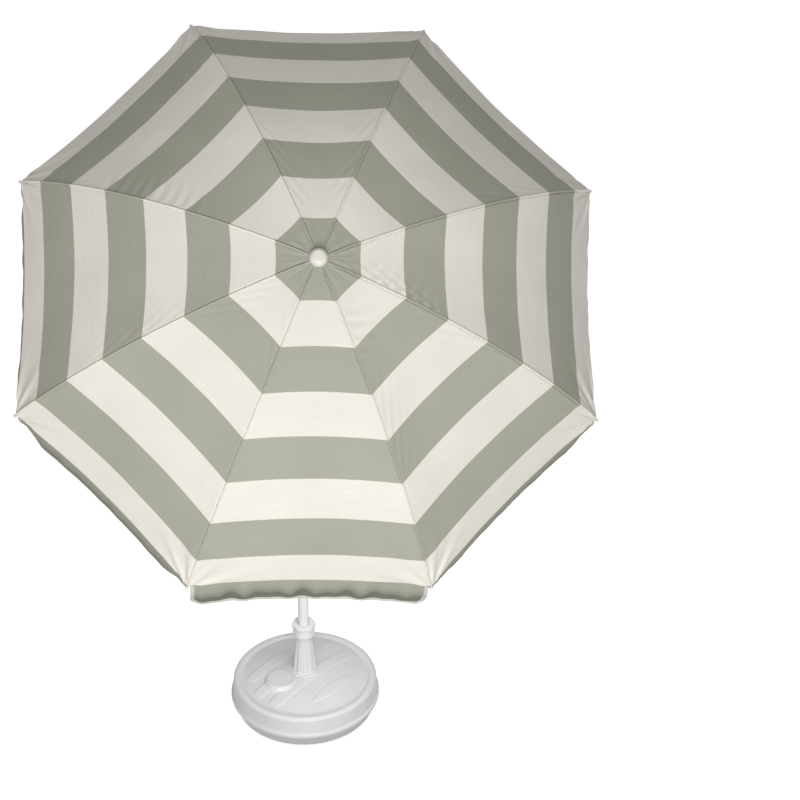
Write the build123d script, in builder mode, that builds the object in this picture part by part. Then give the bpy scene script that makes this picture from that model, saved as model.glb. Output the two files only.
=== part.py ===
from build123d import *
import math
import os

os.makedirs("parts", exist_ok=True)

# Patio umbrella standing in its round base. Millimetres, +Z up.
# The origin is the middle of the base's underside. The canopy leans towards -Y.

# General clearances
running_clearance = 0.06
sliding_clearance = 0.08
loose_clearance = 0.3

# Base
base_diameter = 450.0
pan_bottom_radius = 206.0
pan_top_radius = 218.0
pan_height = 43.0
shell_wall = 3.0
pan_flange_width = 4.0
pan_fillet = 9.0
foot_height = 4.0
foot_inner_radius = 174.0
foot_outer_radius = 194.0
foot_arc = 76.0
foot_count = 3
centre_foot_radius = 45.0
cover_lip_height = 10.0
cover_lip_overhang = 6.0
cover_wall_lean = 3.0
cover_crest_height = 111.0
cover_crest_width = 20.0
cover_crest_fillet = 12.0
cover_lip_fillet = 4.0
recess_depth = 7.0
recess_radius = 190.0
dome_rise = 28.0
ballast_height = 40.0

# Raised strips and plate on the cover
strip_width = 36.0
strip_pitch = 66.0
strip_turn = 40.0
strip_raise = 1.4
strip_margin = 9.0
strip_end_radius = 14.0
plate_length = 172.0
plate_width = 34.0

# Filler opening
filler_x = -77.0
filler_y = -42.0
filler_radius = 31.0
filler_boss_wall = 8.0
filler_boss_rise = 5.6
filler_plug_depth = 14.0
filler_cap_thickness = 2.6
gasket_thickness = 1.2
gasket_width = 5.0
neck_width = 17.0

# Post and locking collar
foot_ring_radius = 43.0
foot_ring_rise = 4.0
post_foot_radius = 34.5
post_top_radius = 23.0
post_height = 125.0
post_flange_height = 4.0
post_flange_margin = 2.5
post_neck_radius = 22.0
post_neck_height = 15.0
flute_count = 6
flute_foot_radius = 9.5
flute_top_radius = 1.6
flute_foot_margin = 4.0
socket_wall = 3.8
collet_height = 19.0
collar_radius = 32.0
collar_top_radius = 36.5
collar_top_height = 8.0
collar_chamfer = 4.0
collar_lobe_count = 6
collar_lobe_radius = 11.0
collar_rib_radius = 1.6

# Poles
pole_wall = 1.2
lower_pole_radius = 16.0
lower_pole_top = 840.0
mid_pole_radius = 14.0
mid_pole_bottom = 560.0
upper_pole_radius = 11.0
plug_depth = 26.0
plug_flange = 2.4

# Height clamp and its knob
clamp_radius = 21.0
clamp_grip = 40.0
clamp_head = 32.0
clamp_fillet = 3.0
clamp_boss_radius = 10.0
clamp_boss_length = 11.0
knob_stem_radius = 4.0
knob_radius = 15.0
knob_length = 14.0
knob_lobe_radius = 5.0
knob_lobe_count = 6

# Tilt joint
pivot_height = 1240.0
tilt_angle = 46.0
tongue_half_width = 8.0
cheek_thickness = 9.0
knuckle_radius = 16.0
fork_radius = 19.0
fork_shoulder = 19.0
fork_length = 84.0
fork_socket_top = 48.0
tilt_pin_radius = 4.0
tilt_pin_head_radius = 7.0
tilt_pin_head = 2.0
tongue_neck_half_width = 13.0
tongue_socket_start = 24.0
tongue_socket_length = 52.0
tongue_socket_radius = 15.5
button_radius = 6.5
button_drop = 34.0
button_reach = 4.0
button_travel = 3.8
button_inner_end = 8.0

# Crown and finial, with heights from the level of the rib pivots
head_length = 1020.0
rib_count = 8
crown_turn = -4.5
hinge_radius = 18.0
hub_radius = 24.0
hub_neck_radius = 13.0
hub_top = 6.6
hub_bottom = -13.0
hub_neck_bottom = -34.0
slot_top = 4.6
slot_inner_radius = 13.4
hinge_pin_radius = 1.5
hinge_pin_length = 11.0
stud_radius = 4.0
stud_height = 18.0
finial_radius = 22.5
finial_height = 21.0
finial_rim = 4.0
finial_flat_radius = 13.0

# Ribs and stretchers
rib_diameter = 4.5
rib_arc = 900.0
rib_start_slope = 2.0
rib_end_slope = 53.0
eye_radius = 3.4
eye_thickness = 5.0
stretcher_arc = 450.0
prong_thickness = 2.0
prong_length = 20.0
fork_root_length = 7.0
rivet_head_radius = 2.6
rivet_head = 0.9
tip_radius = 4.0
tip_overlap = 4.0
tip_length = 11.0

# Fabric
fabric_thickness = 1.2
fabric_lift = 5.0
fabric_inner_arc = -10.0
fabric_hem_arc = 893.0
fabric_stations = 14
hem_bow = 14.0
seam_gap = 0.45
valance_length = 120.0
valance_slope = 84.0
valance_rib_gap = 12.0
valance_corner_radius = 26.0
valance_overlap = 1.5

# Runner
runner_flange_radius = 24.0
runner_flange_half = 8.0
runner_sleeve_radius = 13.0
runner_sleeve_up = 14.0
runner_sleeve_down = 62.0
runner_grip_radius = 18.0
runner_grip_height = 26.0
screw_stem_radius = 3.0
screw_head_radius = 10.0
screw_head_length = 9.0
screw_gap = 2.0


# Directions and planes of the leaning head

tilt = math.radians(tilt_angle)
head_axis = Vector(0, -math.sin(tilt), math.cos(tilt))
tilt_plane = Plane(origin=(0, 0, pivot_height), x_dir=(1, 0, 0), z_dir=head_axis)
tilt_side = Plane(origin=tilt_plane.origin, x_dir=tilt_plane.y_dir, z_dir=tilt_plane.x_dir)
head = Plane(origin=tilt_plane.origin + head_axis * head_length, x_dir=(1, 0, 0), z_dir=head_axis)
head_section = Plane(origin=head.origin, x_dir=head.x_dir, z_dir=-head.y_dir)
first_rib = crown_turn + 180.0 / rib_count
half_gap = math.radians(180.0 / rib_count)
MIN_Z = (Align.CENTER, Align.CENTER, Align.MIN)
MAX_Z = (Align.CENTER, Align.CENTER, Align.MAX)


def rib_plane(index):
    """Plane of one rib: x outwards from the head's axis, y along the axis."""
    turn = math.radians(first_rib + index * 360.0 / rib_count)
    outwards = head.x_dir * math.cos(turn) + head.y_dir * math.sin(turn)
    return Plane(origin=head.origin, x_dir=outwards, z_dir=outwards.cross(head.z_dir))


# Rib curve: an arc that starts at the crown pivot and steepens evenly to its tip.

start_slope = math.radians(rib_start_slope)
rib_bend = math.radians(rib_end_slope - rib_start_slope)
rib_curve_radius = rib_arc / rib_bend
rib_centre_x = hinge_radius - rib_curve_radius * math.sin(start_slope)
rib_centre_y = -rib_curve_radius * math.cos(start_slope)


def rib_slope(arc):
    """Downward slope of the rib, in radians, at a distance along it."""
    return start_slope + arc / rib_curve_radius


def rib_point(arc, above=0.0):
    """Place in the rib's plane, some way along it and above it."""
    slope = rib_slope(arc)
    reach = rib_curve_radius + above
    return rib_centre_x + reach * math.sin(slope), rib_centre_y + reach * math.cos(slope)


joint_x, joint_y = rib_point(stretcher_arc)
link_length = math.hypot(joint_x - hinge_radius, joint_y)
runner_level = 2.0 * joint_y
slot_width = eye_thickness + 2.0 * loose_clearance
eye_bore = hinge_pin_radius + running_clearance
fabric_step = (fabric_hem_arc - fabric_inner_arc) / fabric_stations
chord_sag = fabric_step**2 / (8.0 * rib_curve_radius)
fabric_seat = rib_diameter / 2.0 + loose_clearance + chord_sag


# Base profile heights

cover_lip_bottom = pan_height + shell_wall
lip_radius = base_diameter / 2.0
cover_wall_radius = lip_radius - cover_lip_overhang
recess_height = cover_crest_height - recess_depth
dome_radius = (recess_radius**2 + dome_rise**2) / (2.0 * dome_rise)
dome_centre = recess_height + dome_rise - dome_radius
socket_bore = lower_pole_radius + sliding_clearance
socket_radius = socket_bore + socket_wall


def dome_height(radius, above=0.0):
    """Height of the cover's dome at a distance from the middle."""
    return dome_centre + math.sqrt((dome_radius + above) ** 2 - radius**2)


foot_ring_top = dome_height(foot_ring_radius) + foot_ring_rise
post_foot = foot_ring_top + post_flange_height
post_top = post_foot + post_height
neck_top = post_top + post_neck_height
collar_bottom = post_top + loose_clearance
collet_top = neck_top + collet_height
collar_plate = collet_top + loose_clearance
filler_distance = math.hypot(filler_x, filler_y)
filler_turn = math.degrees(math.atan2(filler_y, filler_x))
filler_boss_radius = filler_radius + filler_boss_wall
filler_boss_top = dome_height(filler_distance) + filler_boss_rise
cap_bottom = filler_boss_top + gasket_thickness


# Base pan: an open tapered bowl with feet

with BuildPart() as base_pan:
    with BuildSketch(Plane.XZ):
        with BuildLine():
            Polyline(
                (0, foot_height),
                (pan_bottom_radius, foot_height),
                (pan_top_radius, pan_height),
                (pan_top_radius + pan_flange_width, pan_height),
                (pan_top_radius + pan_flange_width, cover_lip_bottom),
                (pan_top_radius - shell_wall, cover_lip_bottom),
                (pan_bottom_radius - shell_wall, foot_height + shell_wall),
                (0, foot_height + shell_wall),
                close=True,
            )
        make_face()
    revolve(axis=Axis.Z)
    fillet(base_pan.edges().group_by(Axis.Z)[0].sort_by(SortBy.RADIUS)[-1], pan_fillet)
    Cylinder(centre_foot_radius, foot_height + shell_wall / 2, align=MIN_Z)
    with PolarLocations(0, foot_count, start_angle=-90.0 - foot_arc / 2.0):
        Cylinder(foot_outer_radius, foot_height + shell_wall / 2, arc_size=foot_arc, align=MIN_Z)
    with BuildSketch(Plane.XY):
        Circle(foot_inner_radius)
        Circle(centre_foot_radius, mode=Mode.SUBTRACT)
    extrude(amount=foot_height, mode=Mode.SUBTRACT)
base_pan.part.label = "base_pan"
export_step(base_pan.part, "parts/base_pan.step")


# Base cover: a lipped, domed shell with a filler boss and a ring for the post

with BuildPart() as strips:
    with BuildSketch(Plane.XZ):
        with BuildLine():
            inner = foot_ring_radius
            outer = recess_radius - strip_margin
            middle = (inner + outer) / 2.0
            low = -shell_wall / 2.0
            top_line = ThreePointArc(
                (inner, dome_height(inner, strip_raise)),
                (middle, dome_height(middle, strip_raise)),
                (outer, dome_height(outer, strip_raise)),
            )
            low_line = ThreePointArc(
                (inner, dome_height(inner, low)),
                (middle, dome_height(middle, low)),
                (outer, dome_height(outer, low)),
            )
            Line(top_line @ 0, low_line @ 0)
            Line(top_line @ 1, low_line @ 1)
        make_face()
    revolve(axis=Axis.Z)
    with BuildSketch(Plane.XY.rotated((0, 0, strip_turn))):
        for step in (-1, 0, 1):
            across = step * strip_pitch + strip_pitch / 2.0
            half_length = math.sqrt(outer**2 - (abs(across) + strip_width / 2.0) ** 2)
            with Locations((0, across)):
                RectangleRounded(2.0 * half_length, strip_width, strip_end_radius)
        with BuildLine():
            plate_y = -1.5 * strip_pitch - plate_width / 2.0
            left_end = (-plate_length / 2.0, plate_y)
            right_end = (plate_length / 2.0, plate_y)
            ThreePointArc(left_end, (0, plate_y + plate_width / 2.0), right_end)
            ThreePointArc(left_end, (0, plate_y - plate_width / 2.0), right_end)
        make_face()
    extrude(amount=cover_crest_height + 2 * dome_rise, mode=Mode.INTERSECT)

with BuildPart() as base_cover:
    with BuildSketch(Plane.XZ) as cover_profile:
        with BuildLine():
            crest_outer = cover_wall_radius - cover_wall_lean
            crest_inner = crest_outer - cover_crest_width
            crest_under = cover_crest_height - shell_wall
            hole = socket_radius + loose_clearance
            middle = (recess_radius + hole) / 2.0
            outside = Polyline(
                (lip_radius, cover_lip_bottom),
                (lip_radius, cover_lip_bottom + cover_lip_height),
                (cover_wall_radius, cover_lip_bottom + cover_lip_height),
                (crest_outer, cover_crest_height),
                (crest_inner, cover_crest_height),
                (recess_radius, recess_height),
            )
            dome_top = ThreePointArc(
                (recess_radius, recess_height),
                (middle, dome_height(middle)),
                (hole, dome_height(hole)),
            )
            under_corner = recess_radius + shell_wall / 3.0
            dome_under = ThreePointArc(
                (under_corner, dome_height(under_corner, -shell_wall)),
                (middle, dome_height(middle, -shell_wall)),
                (hole, dome_height(hole, -shell_wall)),
            )
            Line(dome_top @ 1, dome_under @ 1)
            Polyline(
                dome_under @ 0,
                (crest_inner + shell_wall / 2.0, crest_under),
                (crest_outer - shell_wall, crest_under),
                (cover_wall_radius - shell_wall, cover_lip_bottom),
                (lip_radius, cover_lip_bottom),
            )
        make_face()
        corners = cover_profile.vertices()
        fillet(corners.group_by(Axis.X)[-1].sort_by(Axis.Y)[-1], cover_lip_fillet)
        fillet(corners.filter_by_position(Axis.Y, crest_under, crest_under), cover_crest_fillet - shell_wall)
        fillet(corners.filter_by_position(Axis.Y, cover_crest_height, cover_crest_height), cover_crest_fillet)
    revolve(axis=Axis.Z)
    add(strips.part)
    with BuildSketch(Plane.XY.offset(dome_height(foot_ring_radius) - shell_wall)):
        Circle(foot_ring_radius)
        Circle(hole, mode=Mode.SUBTRACT)
    extrude(amount=shell_wall + foot_ring_rise)
    boss_bottom = dome_height(filler_distance + filler_boss_radius) - shell_wall
    with BuildSketch(Plane.XY.offset(boss_bottom)):
        with Locations((filler_x, filler_y)):
            Circle(filler_boss_radius)
    extrude(amount=filler_boss_top - boss_bottom)
    with BuildSketch(Plane.XY.offset(dome_height(filler_distance) - shell_wall / 2.0)):
        with Locations(Location((0, 0, 0), (0, 0, filler_turn))):
            with Locations((filler_distance / 2.0, 0)):
                Rectangle(filler_distance - 2.0 * hole, neck_width)
    extrude(amount=filler_boss_top - dome_height(filler_distance) + shell_wall / 2.0)
    with BuildSketch(Plane.XY):
        with Locations((filler_x, filler_y)):
            Circle(filler_radius)
        Circle(hole)
    extrude(amount=cover_crest_height + 2 * dome_rise, mode=Mode.SUBTRACT)
base_cover.part.label = "base_cover"
export_step(base_cover.part, "parts/base_cover.step")


# Ballast filling the pan around the pole socket

with BuildPart() as ballast:
    floor = foot_height + shell_wall + loose_clearance
    wall_step = (pan_top_radius - pan_bottom_radius) / (pan_height - foot_height)
    fill_radius = pan_bottom_radius - 2.0 * shell_wall
    with BuildSketch(Plane.XZ):
        with BuildLine():
            Polyline(
                (socket_radius + loose_clearance, floor),
                (fill_radius, floor),
                (fill_radius + wall_step * (ballast_height - floor), ballast_height),
                (socket_radius + loose_clearance, ballast_height),
                close=True,
            )
        make_face()
    revolve(axis=Axis.Z)
ballast.part.label = "ballast"
export_step(ballast.part, "parts/ballast.step")


# Post: a fluted tapering column over the pole's socket

with BuildPart() as base_post:
    with BuildSketch(Plane.XY.offset(foot_height + shell_wall)):
        Circle(socket_radius)
    extrude(amount=foot_ring_top - foot_height - shell_wall)
    with BuildSketch(Plane.XY.offset(foot_ring_top)):
        Circle(post_foot_radius + post_flange_margin)
    extrude(amount=post_flange_height)
    with BuildSketch(Plane.XY.offset(post_foot)):
        Circle(post_foot_radius)
    with BuildSketch(Plane.XY.offset(post_top)):
        Circle(post_top_radius)
    loft()
    with BuildSketch(Plane.XY.offset(post_top)):
        Circle(post_neck_radius)
    extrude(amount=post_neck_height)
    for flute in PolarLocations(1.0, flute_count, start_angle=30.0):
        across = flute.position
        with BuildSketch(Plane.XY.offset(post_foot)):
            with Locations(across * (post_foot_radius + flute_foot_margin)):
                Circle(flute_foot_radius)
        with BuildSketch(Plane.XY.offset(post_top)):
            with Locations(across * (post_top_radius + flute_top_radius)):
                Circle(flute_top_radius)
        loft(mode=Mode.SUBTRACT)
    with BuildSketch(Plane.XY):
        Circle(socket_bore)
    extrude(amount=neck_top, mode=Mode.SUBTRACT)
base_post.part.label = "base_post"
export_step(base_post.part, "parts/base_post.step")


# Grip collet that the collar squeezes onto the pole

with BuildPart() as grip_collet:
    with BuildSketch(Plane.XY.offset(neck_top)):
        Circle(post_neck_radius - loose_clearance)
        Circle(socket_bore, mode=Mode.SUBTRACT)
    extrude(amount=collet_height)
grip_collet.part.label = "grip_collet"
export_step(grip_collet.part, "parts/grip_collet.step")


# Locking collar: a ribbed nut with a lobed top

with BuildPart() as locking_collar:
    with BuildSketch(Plane.XY.offset(collar_bottom)):
        Circle(collar_radius)
    extrude(amount=collar_plate - collar_bottom)
    chamfer(locking_collar.edges().group_by(Axis.Z)[0], collar_chamfer)
    with BuildSketch(Plane.XY.offset(collar_bottom + collar_chamfer)):
        with PolarLocations(collar_radius, collar_lobe_count):
            Circle(collar_rib_radius)
    extrude(amount=collar_plate - collar_bottom - collar_chamfer)
    with BuildSketch(Plane.XY.offset(collar_plate)):
        Circle(collar_radius)
        with PolarLocations(collar_top_radius - collar_lobe_radius, collar_lobe_count):
            Circle(collar_lobe_radius)
    extrude(amount=collar_top_height)
    with BuildSketch(Plane.XY.offset(collar_bottom)):
        Circle(post_neck_radius + sliding_clearance)
    extrude(amount=collar_plate - collar_bottom, mode=Mode.SUBTRACT)
    with BuildSketch(Plane.XY.offset(collar_plate)):
        Circle(lower_pole_radius + loose_clearance)
    extrude(amount=collar_top_height, mode=Mode.SUBTRACT)
locking_collar.part.label = "locking_collar"
export_step(locking_collar.part, "parts/locking_collar.step")


# Filler cap and its gasket

with BuildPart() as filler_cap:
    with BuildSketch(Plane.XY.offset(cap_bottom)):
        with Locations((filler_x, filler_y)):
            Circle(filler_radius + gasket_width)
    extrude(amount=filler_cap_thickness)
    with BuildSketch(Plane.XY.offset(cap_bottom)):
        with Locations((filler_x, filler_y)):
            Circle(filler_radius - loose_clearance)
    extrude(amount=-filler_plug_depth)
    fillet(filler_cap.edges().group_by(Axis.Z)[-1], filler_cap_thickness / 3.0)
filler_cap.part.label = "filler_cap"
export_step(filler_cap.part, "parts/filler_cap.step")

with BuildPart() as cap_gasket:
    with BuildSketch(Plane.XY.offset(filler_boss_top)):
        with Locations((filler_x, filler_y)):
            Circle(filler_radius + gasket_width)
            Circle(filler_radius, mode=Mode.SUBTRACT)
    extrude(amount=gasket_thickness)
cap_gasket.part.label = "cap_gasket"
export_step(cap_gasket.part, "parts/cap_gasket.step")


# Lower pole with its foot plug

plug_bottom = foot_height + shell_wall + loose_clearance
lower_pole_bottom = plug_bottom + plug_flange

with BuildPart() as lower_pole:
    with BuildSketch(Plane.XY.offset(lower_pole_bottom)):
        Circle(lower_pole_radius)
        Circle(lower_pole_radius - pole_wall, mode=Mode.SUBTRACT)
    extrude(amount=lower_pole_top - lower_pole_bottom)
lower_pole.part.label = "lower_pole"
export_step(lower_pole.part, "parts/lower_pole.step")

with BuildPart() as foot_plug:
    with BuildSketch(Plane.XY.offset(plug_bottom)):
        Circle(lower_pole_radius)
    extrude(amount=plug_flange)
    with BuildSketch(Plane.XY.offset(lower_pole_bottom)):
        Circle(lower_pole_radius - pole_wall)
    extrude(amount=plug_depth)
foot_plug.part.label = "foot_plug"
export_step(foot_plug.part, "parts/foot_plug.step")


# Height clamp at the top of the lower pole, and its knob

clamp_top = lower_pole_top + clamp_head
knob_level = lower_pole_top + clamp_head / 2.0
boss_end = clamp_radius + clamp_boss_length
knob_plane = Plane(origin=(0, 0, knob_level), x_dir=(0, 1, 0), z_dir=(1, 0, 0))

with BuildPart() as height_clamp:
    with BuildSketch(Plane.XY.offset(lower_pole_top - clamp_grip)):
        Circle(clamp_radius)
    extrude(amount=clamp_grip + clamp_head)
    fillet(height_clamp.edges().filter_by(GeomType.CIRCLE), clamp_fillet)
    with BuildSketch(knob_plane):
        Circle(clamp_boss_radius)
    extrude(amount=boss_end)
    with BuildSketch(Plane.XY.offset(lower_pole_top - clamp_grip)):
        Circle(lower_pole_radius)
    extrude(amount=clamp_grip, mode=Mode.SUBTRACT)
    with BuildSketch(Plane.XY.offset(lower_pole_top)):
        Circle(mid_pole_radius + sliding_clearance)
    extrude(amount=clamp_head, mode=Mode.SUBTRACT)
    with BuildSketch(knob_plane):
        Circle(knob_stem_radius + running_clearance)
    extrude(amount=boss_end, mode=Mode.SUBTRACT)
height_clamp.part.label = "height_clamp"
export_step(height_clamp.part, "parts/height_clamp.step")

with BuildPart() as height_knob:
    with BuildSketch(knob_plane.offset(mid_pole_radius + loose_clearance)):
        Circle(knob_stem_radius)
    extrude(amount=boss_end - mid_pole_radius)
    with BuildSketch(knob_plane.offset(boss_end + loose_clearance)):
        Circle(knob_radius - knob_lobe_radius / 2.0)
        with PolarLocations(knob_radius - knob_lobe_radius, knob_lobe_count):
            Circle(knob_lobe_radius)
    extrude(amount=knob_length)
    fillet(height_knob.faces().sort_by(Axis.X)[-1].edges(), clamp_fillet / 2.0)
height_knob.part.label = "height_knob"
export_step(height_knob.part, "parts/height_knob.step")


# Mid pole with its guide plug

fork_bottom = pivot_height - fork_length
mid_pole_top = pivot_height - fork_socket_top

with BuildPart() as mid_pole:
    with BuildSketch(Plane.XY.offset(mid_pole_bottom)):
        Circle(mid_pole_radius)
        Circle(mid_pole_radius - pole_wall, mode=Mode.SUBTRACT)
    extrude(amount=mid_pole_top - mid_pole_bottom)
mid_pole.part.label = "mid_pole"
export_step(mid_pole.part, "parts/mid_pole.step")

with BuildPart() as guide_plug:
    with BuildSketch(Plane.XY.offset(mid_pole_bottom)):
        Circle(lower_pole_radius - pole_wall - sliding_clearance)
    extrude(amount=-plug_depth / 2.0)
    with BuildSketch(Plane.XY.offset(mid_pole_bottom)):
        Circle(mid_pole_radius - pole_wall)
    extrude(amount=plug_depth)
guide_plug.part.label = "guide_plug"
export_step(guide_plug.part, "parts/guide_plug.step")


# Tilt joint: fork below, tongue above, pin across, sprung button in front

cheek_inner = tongue_half_width + loose_clearance
cheek_outer = cheek_inner + cheek_thickness
button_plane = Plane(origin=(0, 0, pivot_height - button_drop), x_dir=(1, 0, 0), z_dir=(0, -1, 0))

with BuildPart() as tilt_fork:
    with BuildSketch(Plane.XY.offset(fork_bottom)):
        Circle(fork_radius)
    extrude(amount=fork_length - fork_shoulder)
    fillet(tilt_fork.edges().group_by(Axis.Z)[0], clamp_fillet / 2.0)
    for side in (1, -1):
        with BuildSketch(Plane.YZ.offset(side * cheek_inner)):
            with Locations((0, pivot_height)):
                Circle(knuckle_radius)
            with Locations((0, pivot_height - fork_shoulder)):
                Rectangle(2 * knuckle_radius, 2 * fork_shoulder)
        extrude(amount=side * cheek_thickness)
    with BuildSketch(Plane.XY.offset(fork_bottom)):
        Circle(mid_pole_radius)
    extrude(amount=fork_length - fork_socket_top, mode=Mode.SUBTRACT)
    with BuildSketch(Plane.YZ.offset(-cheek_outer)):
        with Locations((0, pivot_height)):
            Circle(tilt_pin_radius)
    extrude(amount=2 * cheek_outer, mode=Mode.SUBTRACT)
    with BuildSketch(button_plane.offset(button_inner_end - button_travel - loose_clearance)):
        Circle(button_radius + running_clearance)
    extrude(amount=fork_radius, mode=Mode.SUBTRACT)
tilt_fork.part.label = "tilt_fork"
export_step(tilt_fork.part, "parts/tilt_fork.step")

with BuildPart() as tilt_pin:
    with BuildSketch(Plane.YZ.offset(-cheek_outer)):
        with Locations((0, pivot_height)):
            Circle(tilt_pin_radius)
    extrude(amount=2 * cheek_outer)
    for side in (1, -1):
        with BuildSketch(Plane.YZ.offset(side * cheek_outer)):
            with Locations((0, pivot_height)):
                Circle(tilt_pin_head_radius)
        extrude(amount=side * tilt_pin_head)
tilt_pin.part.label = "tilt_pin"
export_step(tilt_pin.part, "parts/tilt_pin.step")

with BuildPart() as tilt_button:
    with BuildSketch(button_plane.offset(button_inner_end)):
        Circle(button_radius)
    extrude(amount=fork_radius + button_reach - button_inner_end)
    fillet(tilt_button.edges().sort_by(Axis.Y)[0], button_reach / 4.0)
tilt_button.part.label = "tilt_button"
export_step(tilt_button.part, "parts/tilt_button.step")

upper_pole_start = tongue_socket_start + pole_wall * 4.0

with BuildPart() as tilt_tongue:
    with BuildSketch(tilt_side.offset(-tongue_half_width)):
        Circle(knuckle_radius)
        with Locations((0, tongue_socket_start / 2.0)):
            Rectangle(2 * tongue_neck_half_width, tongue_socket_start)
    extrude(amount=2 * tongue_half_width)
    with BuildSketch(tilt_plane.offset(tongue_socket_start)):
        Circle(tongue_socket_radius)
    extrude(amount=tongue_socket_length)
    with BuildSketch(tilt_plane.offset(upper_pole_start)):
        Circle(upper_pole_radius)
    extrude(amount=tongue_socket_length, mode=Mode.SUBTRACT)
    with BuildSketch(tilt_side.offset(-tongue_half_width)):
        Circle(tilt_pin_radius + running_clearance)
    extrude(amount=2 * tongue_half_width, mode=Mode.SUBTRACT)
tilt_tongue.part.label = "tilt_tongue"
export_step(tilt_tongue.part, "parts/tilt_tongue.step")


# Upper pole, crown hub and its hinge pins

upper_pole_top = slot_top - pole_wall * 2.0

with BuildPart() as upper_pole:
    with BuildSketch(tilt_plane.offset(upper_pole_start)):
        Circle(upper_pole_radius)
        Circle(upper_pole_radius - pole_wall, mode=Mode.SUBTRACT)
    extrude(amount=head_length + upper_pole_top - upper_pole_start)
upper_pole.part.label = "upper_pole"
export_step(upper_pole.part, "parts/upper_pole.step")

with BuildPart() as crown_hub:
    with BuildSketch(head.offset(hub_bottom)):
        Circle(hub_radius)
    extrude(amount=hub_top - hub_bottom)
    with BuildSketch(head.offset(hub_neck_bottom)):
        Circle(hub_neck_radius)
    extrude(amount=hub_top - hub_neck_bottom)
    with BuildSketch(head.offset(hub_top)):
        Circle(stud_radius)
    extrude(amount=stud_height)
    with BuildSketch(head.offset(hub_bottom)):
        with PolarLocations(slot_inner_radius + hub_radius / 2.0, rib_count, start_angle=first_rib):
            Rectangle(hub_radius, slot_width)
    extrude(amount=slot_top - hub_bottom, mode=Mode.SUBTRACT)
    with BuildSketch(head.offset(hub_neck_bottom)):
        Circle(upper_pole_radius)
    extrude(amount=upper_pole_top - hub_neck_bottom, mode=Mode.SUBTRACT)
    for index in range(rib_count):
        with BuildSketch(rib_plane(index)):
            with Locations((hinge_radius, 0)):
                Circle(hinge_pin_radius)
        extrude(amount=hinge_pin_length / 2.0, both=True, mode=Mode.SUBTRACT)
crown_hub.part.label = "crown_hub"
export_step(crown_hub.part, "parts/crown_hub.step")

with BuildPart() as crown_pins:
    for index in range(rib_count):
        with BuildSketch(rib_plane(index)):
            with Locations((hinge_radius, 0)):
                Circle(hinge_pin_radius)
        extrude(amount=hinge_pin_length / 2.0, both=True)
crown_pins.part.label = "crown_pins"
export_step(crown_pins.part, "parts/crown_pins.step")


# Finial screwed on the crown's stud, over the middle of the fabric

fabric_crown = fabric_seat + fabric_lift + fabric_thickness
finial_bottom = fabric_crown + 2.0 * loose_clearance
finial_top = finial_bottom + finial_height

with BuildPart() as finial:
    with BuildSketch(head_section):
        with BuildLine():
            stud_bore = stud_radius + running_clearance
            bore_top = hub_top + stud_height + loose_clearance
            shoulder = (finial_radius, finial_bottom + finial_rim)
            Polyline(
                (0, finial_top),
                (0, bore_top),
                (stud_bore, bore_top),
                (stud_bore, finial_bottom),
                (finial_radius, finial_bottom),
                shoulder,
            )
            TangentArc(shoulder, (finial_flat_radius, finial_top), tangent=(0, 1))
            Line((finial_flat_radius, finial_top), (0, finial_top))
        make_face()
    revolve(axis=Axis(head.origin, head.z_dir))
finial.part.label = "finial"
export_step(finial.part, "parts/finial.step")


# Ribs with their tip caps

def make_rib(index):
    """A curved rod with an eye at the crown and a bored boss for the stretcher."""
    plane = rib_plane(index)
    with BuildPart() as rib:
        with BuildLine(plane) as path:
            CenterArc(
                (rib_centre_x, rib_centre_y),
                rib_curve_radius,
                90.0 - rib_start_slope,
                -(rib_end_slope - rib_start_slope),
            )
        with BuildSketch(Plane(origin=path.line @ 0, z_dir=path.line % 0)):
            Circle(rib_diameter / 2.0)
        sweep()
        with BuildSketch(plane):
            with Locations((hinge_radius, 0), (joint_x, joint_y)):
                Circle(eye_radius)
        extrude(amount=eye_thickness / 2.0, both=True)
        with BuildSketch(plane):
            with Locations((hinge_radius, 0), (joint_x, joint_y)):
                Circle(eye_bore)
        extrude(amount=eye_thickness, both=True, mode=Mode.SUBTRACT)
    return rib


def make_tip(index):
    """A round-ended cap pushed over the rib's end."""
    plane = rib_plane(index)
    slope = rib_slope(rib_arc)
    tip_x, tip_y = rib_point(rib_arc)
    along = plane.x_dir * math.cos(slope) - plane.y_dir * math.sin(slope)
    end = plane.from_local_coords((tip_x, tip_y, 0))
    with BuildPart() as tip:
        with BuildSketch(Plane(origin=end - along * tip_overlap, z_dir=along)):
            Circle(tip_radius)
        extrude(amount=tip_length)
        fillet(tip.faces().sort_by(Axis((0, 0, 0), along))[-1].edges(), tip_radius * 0.7)
        with BuildSketch(Plane(origin=end, z_dir=-along)):
            Circle(rib_diameter / 2.0 + loose_clearance)
        extrude(amount=tip_overlap, mode=Mode.SUBTRACT)
    return tip


for number in range(1, rib_count + 1):
    rib = make_rib(number - 1)
    rib.part.label = f"rib_{number}"
    export_step(rib.part, f"parts/rib_{number}.step")
    tip = make_tip(number - 1)
    tip.part.label = f"rib_tip_{number}"
    export_step(tip.part, f"parts/rib_tip_{number}.step")


# Stretchers from the ribs to the runner

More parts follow.
